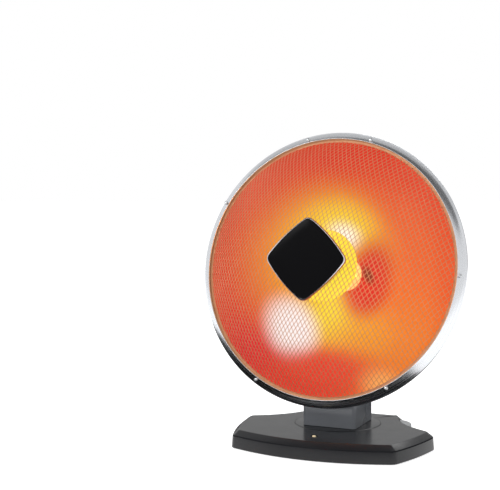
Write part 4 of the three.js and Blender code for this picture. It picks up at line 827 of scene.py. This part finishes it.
def build_dial():
    steps = 480
    angle = np.arange(steps) / steps * TAU
    swell = np.cos(angle * DIAL_RIDGES)
    z0, z1 = DIAL_Z
    # How far each level's rim lies from the full radius, and how high its ridges are
    rim = (
        (-14, 0, z0), (-1.4, 0, z0), (-0.6, 0.2, z0 + 0.5), (-0.4, 0.4, z0 + 1.2),
        (-0.4, 0.4, z1 - 1.2), (-0.6, 0.2, z1 - 0.5), (-1.4, 0, z1), (-14, 0, z1),
    )
    loops = []
    for step, depth, z in rim:
        r = DIAL_R + step + depth * swell
        x, y = r * np.cos(angle) + DIAL_CENTRE[0], r * np.sin(angle) + DIAL_CENTRE[1] + SWIVEL_Y
        loops.append(np.c_[x, y, np.full(steps, z)])
    wheel = loops_mesh("heat_dial_smooth", loops, light_grey, caps=True)
    dress(wheel, "heat_dial", "light_grey_plastic", "heat_dial_wheel")


def build_lamp():
    profile = [
        (0.02, 17.8), (4.4, 17.8), (4.4, 20.3), (2.4, 20.3), (2.4, 23.0), (2.2, 23.6), (1.5, 24.05),
        (0.7, 24.25), (0.02, 24.3),
    ]
    lens = lathe("power_lamp_smooth", profile, lamp_lens, 48, "Z")
    lens.data.transform(Matrix.Translation((0, (LAMP_Y + SWIVEL_Y) * MM, 0)))
    dress(lens, "base", "lamp", "power_lamp_lens")


for build in (
    build_ring, build_reflector, build_housing, build_net, build_ceramics, build_coil, build_guard,
    build_badge, build_base, build_turntable, build_dial, build_lamp,
):
    build()

REFINED = (
    (rubber, ("foot_front_left", "foot_front_right", "foot_rear_left", "foot_rear_right")),
    (zinc, [f"base_screw_{i}" for i in (1, 2, 3, 4)]),
    (screw_steel, [f"ring_screw_{i}" for i in (1, 2, 3, 4, 5, 6)]),
    (zinc, (
        "neck_cover_screw_left", "neck_cover_screw_right", "frame_screw_1", "frame_screw_2", "tilt_bolt",
        "tilt_nut", "bracket_screw_1", "bracket_screw_2", "guard_nut", "hub_cap_nut", "centre_rod",
        "badge_screw", "badge_clamp",
    )),
    (grey_steel, ("turntable_retaining_ring", "neck_frame", "pivot_sleeve")),
    (black_satin, (
        "cord_inlet_bushing", "heat_control_body", "tip_switch_body", "rear_hub_cap", "thermal_cutoff",
        "friction_washer_left", "friction_washer_right",
    )),
    (light_grey, ("terminal_block", "tip_plunger")),
    (plate_paint, ("base_bottom_plate",)),
    (housing_paint, ("tilt_bracket",)),
)
for paint, nodes in REFINED:
    for node in nodes:
        refined(node, paint)
for node in ("neck_front_cover", "neck_rear_cover"):
    refined(node, neck_gloss, 0.8)


# ------------------------------------------------------------------ stage
WORLD_LEVEL, WORLD_EXTRA = 0.55, 0.45
FLOOR_EXTRA = 0.75
FLOOR_HALF = 20
CARD_Z = 1.6


def emission_for_some_rays(tree, strength):
    """Adds light of its own that only camera, glossy and transmission rays see."""
    path = tree.nodes.new("ShaderNodeLightPath")
    seen = path.outputs["Is Camera Ray"]
    for name in ("Is Glossy Ray", "Is Transmission Ray"):
        most = tree.nodes.new("ShaderNodeMath")
        most.operation = "MAXIMUM"
        tree.links.new(seen, most.inputs[0])
        tree.links.new(path.outputs[name], most.inputs[1])
        seen = most.outputs[0]
    level = tree.nodes.new("ShaderNodeMath")
    level.operation = "MULTIPLY"
    level.inputs[1].default_value = strength
    tree.links.new(seen, level.inputs[0])
    return level.outputs[0]


def build_floor():
    """A pale matt floor that the camera sees as the plain white backdrop."""
    half = FLOOR_HALF
    corners = [(-half, -half, 0), (half, -half, 0), (half, half, 0), (-half, half, 0)]
    mesh = bpy.data.meshes.new("floor")
    mesh.from_pydata(corners, [], [(0, 1, 2, 3)])
    floor = bpy.data.objects.new("floor", mesh)
    scene.collection.objects.link(floor)
    paint = Paint("floor_white", (0.8, 0.8, 0.8, 1), 0.9, Specular_IOR_Level=0.0, Emission_Color=(1, 1, 1, 1))
    paint.colour(paint.mix(paint.noise(0.8, 2), (0.80, 0.80, 0.80, 1), (0.83, 0.83, 0.83, 1)))
    paint.link(emission_for_some_rays(paint.tree, FLOOR_EXTRA), paint.shader.inputs["Emission Strength"])
    mesh.materials.append(paint.material)


def build_world():
    world = bpy.data.worlds.new("world")
    scene.world = world
    world.use_nodes = True
    tree = world.node_tree
    back = tree.nodes["Background"]
    back.inputs["Color"].default_value = (1, 1, 1, 1)
    level = emission_for_some_rays(tree, WORLD_EXTRA)
    total = tree.nodes.new("ShaderNodeMath")
    total.operation = "ADD"
    total.inputs[1].default_value = WORLD_LEVEL
    tree.links.new(level, total.inputs[0])
    tree.links.new(total.outputs[0], back.inputs["Strength"])


def area_light(name, place, aim, size, power):
    lamp = bpy.data.lights.new(name, "AREA")
    lamp.shape, lamp.size, lamp.size_y, lamp.energy = "RECTANGLE", size[0], size[1], power
    holder = bpy.data.objects.new(name, lamp)
    scene.collection.objects.link(holder)
    holder.location = place
    holder.rotation_euler = (Vector(aim) - Vector(place)).to_track_quat("-Z", "Y").to_euler()
    return holder


def studio_card(name, corners, level, faces=((0, 1, 2, 3),)):
    """A plain studio card that only mirror reflections see."""
    mesh = bpy.data.meshes.new(name)
    mesh.from_pydata(corners, [], faces)
    card = bpy.data.objects.new(name, mesh)
    scene.collection.objects.link(card)
    paint = Paint(name, (0.0, 0.0, 0.0, 1), 1.0, Specular_IOR_Level=0.0)
    paint.glow(paint.mix(paint.noise(3, 2), (level * 0.9,) * 3 + (1,), (level,) * 3 + (1,)), 1.0)
    mesh.materials.append(paint.material)
    card.visible_camera = card.visible_shadow = card.visible_diffuse = False
    card.visible_transmission = card.visible_volume_scatter = False


def overhead(y0, y1):
    return [(-2, y0, CARD_Z), (2, y0, CARD_Z), (2, y1, CARD_Z), (-2, y1, CARD_Z)]


def build_low_card(x0, x1, y0, y1):
    """A dark card round the base, which the lower part of the ring mirrors."""
    inner = base_loop(2.0, 17.4) * MM
    centre = inner.mean(axis=0)
    away = inner - centre
    with np.errstate(divide="ignore"):
        reach_x = np.where(away[:, 0] > 0, x1 - centre[0], x0 - centre[0]) / away[:, 0]
        reach_y = np.where(away[:, 1] > 0, y1 - centre[1], y0 - centre[1]) / away[:, 1]
    outer = centre + away * np.minimum(reach_x, reach_y)[:, None]
    count = len(inner)
    faces = [(k, (k + 1) % count, count + (k + 1) % count, count + k) for k in range(count)]
    studio_card("card_low", [tuple(v) for v in np.vstack([inner, outer])], 0.012, faces)


build_floor()
build_world()
area_light("key", (-1.3, -1.6, 1.9), (0, 0, 0.2), (1.2, 1.2), 24)
area_light("fill", (1.8, -1.0, 1.0), (0, 0, 0.2), (1.0, 1.4), 9).visible_glossy = False
area_light("rim", (0.3, 1.6, 1.8), (0, 0, 0.2), (1.6, 0.8), 12)
area_light("low", (-0.25, -1.7, 0.28), (0, 0, 0.05), (1.2, 0.3), 8).visible_glossy = False

build_low_card(-0.6, 0.19, -0.75, 2.6)
studio_card("card_over_front", overhead(-1.1, -0.1), 0.12)
studio_card("card_over_back", overhead(-0.1, 1.2), 0.75)
studio_card("card_behind", [(-2.6, 3, 0.02), (2.6, 3, 0.02), (2.6, 3, 2.2), (-2.6, 3, 2.2)], 0.62)

scene.view_settings.view_transform = "Standard"
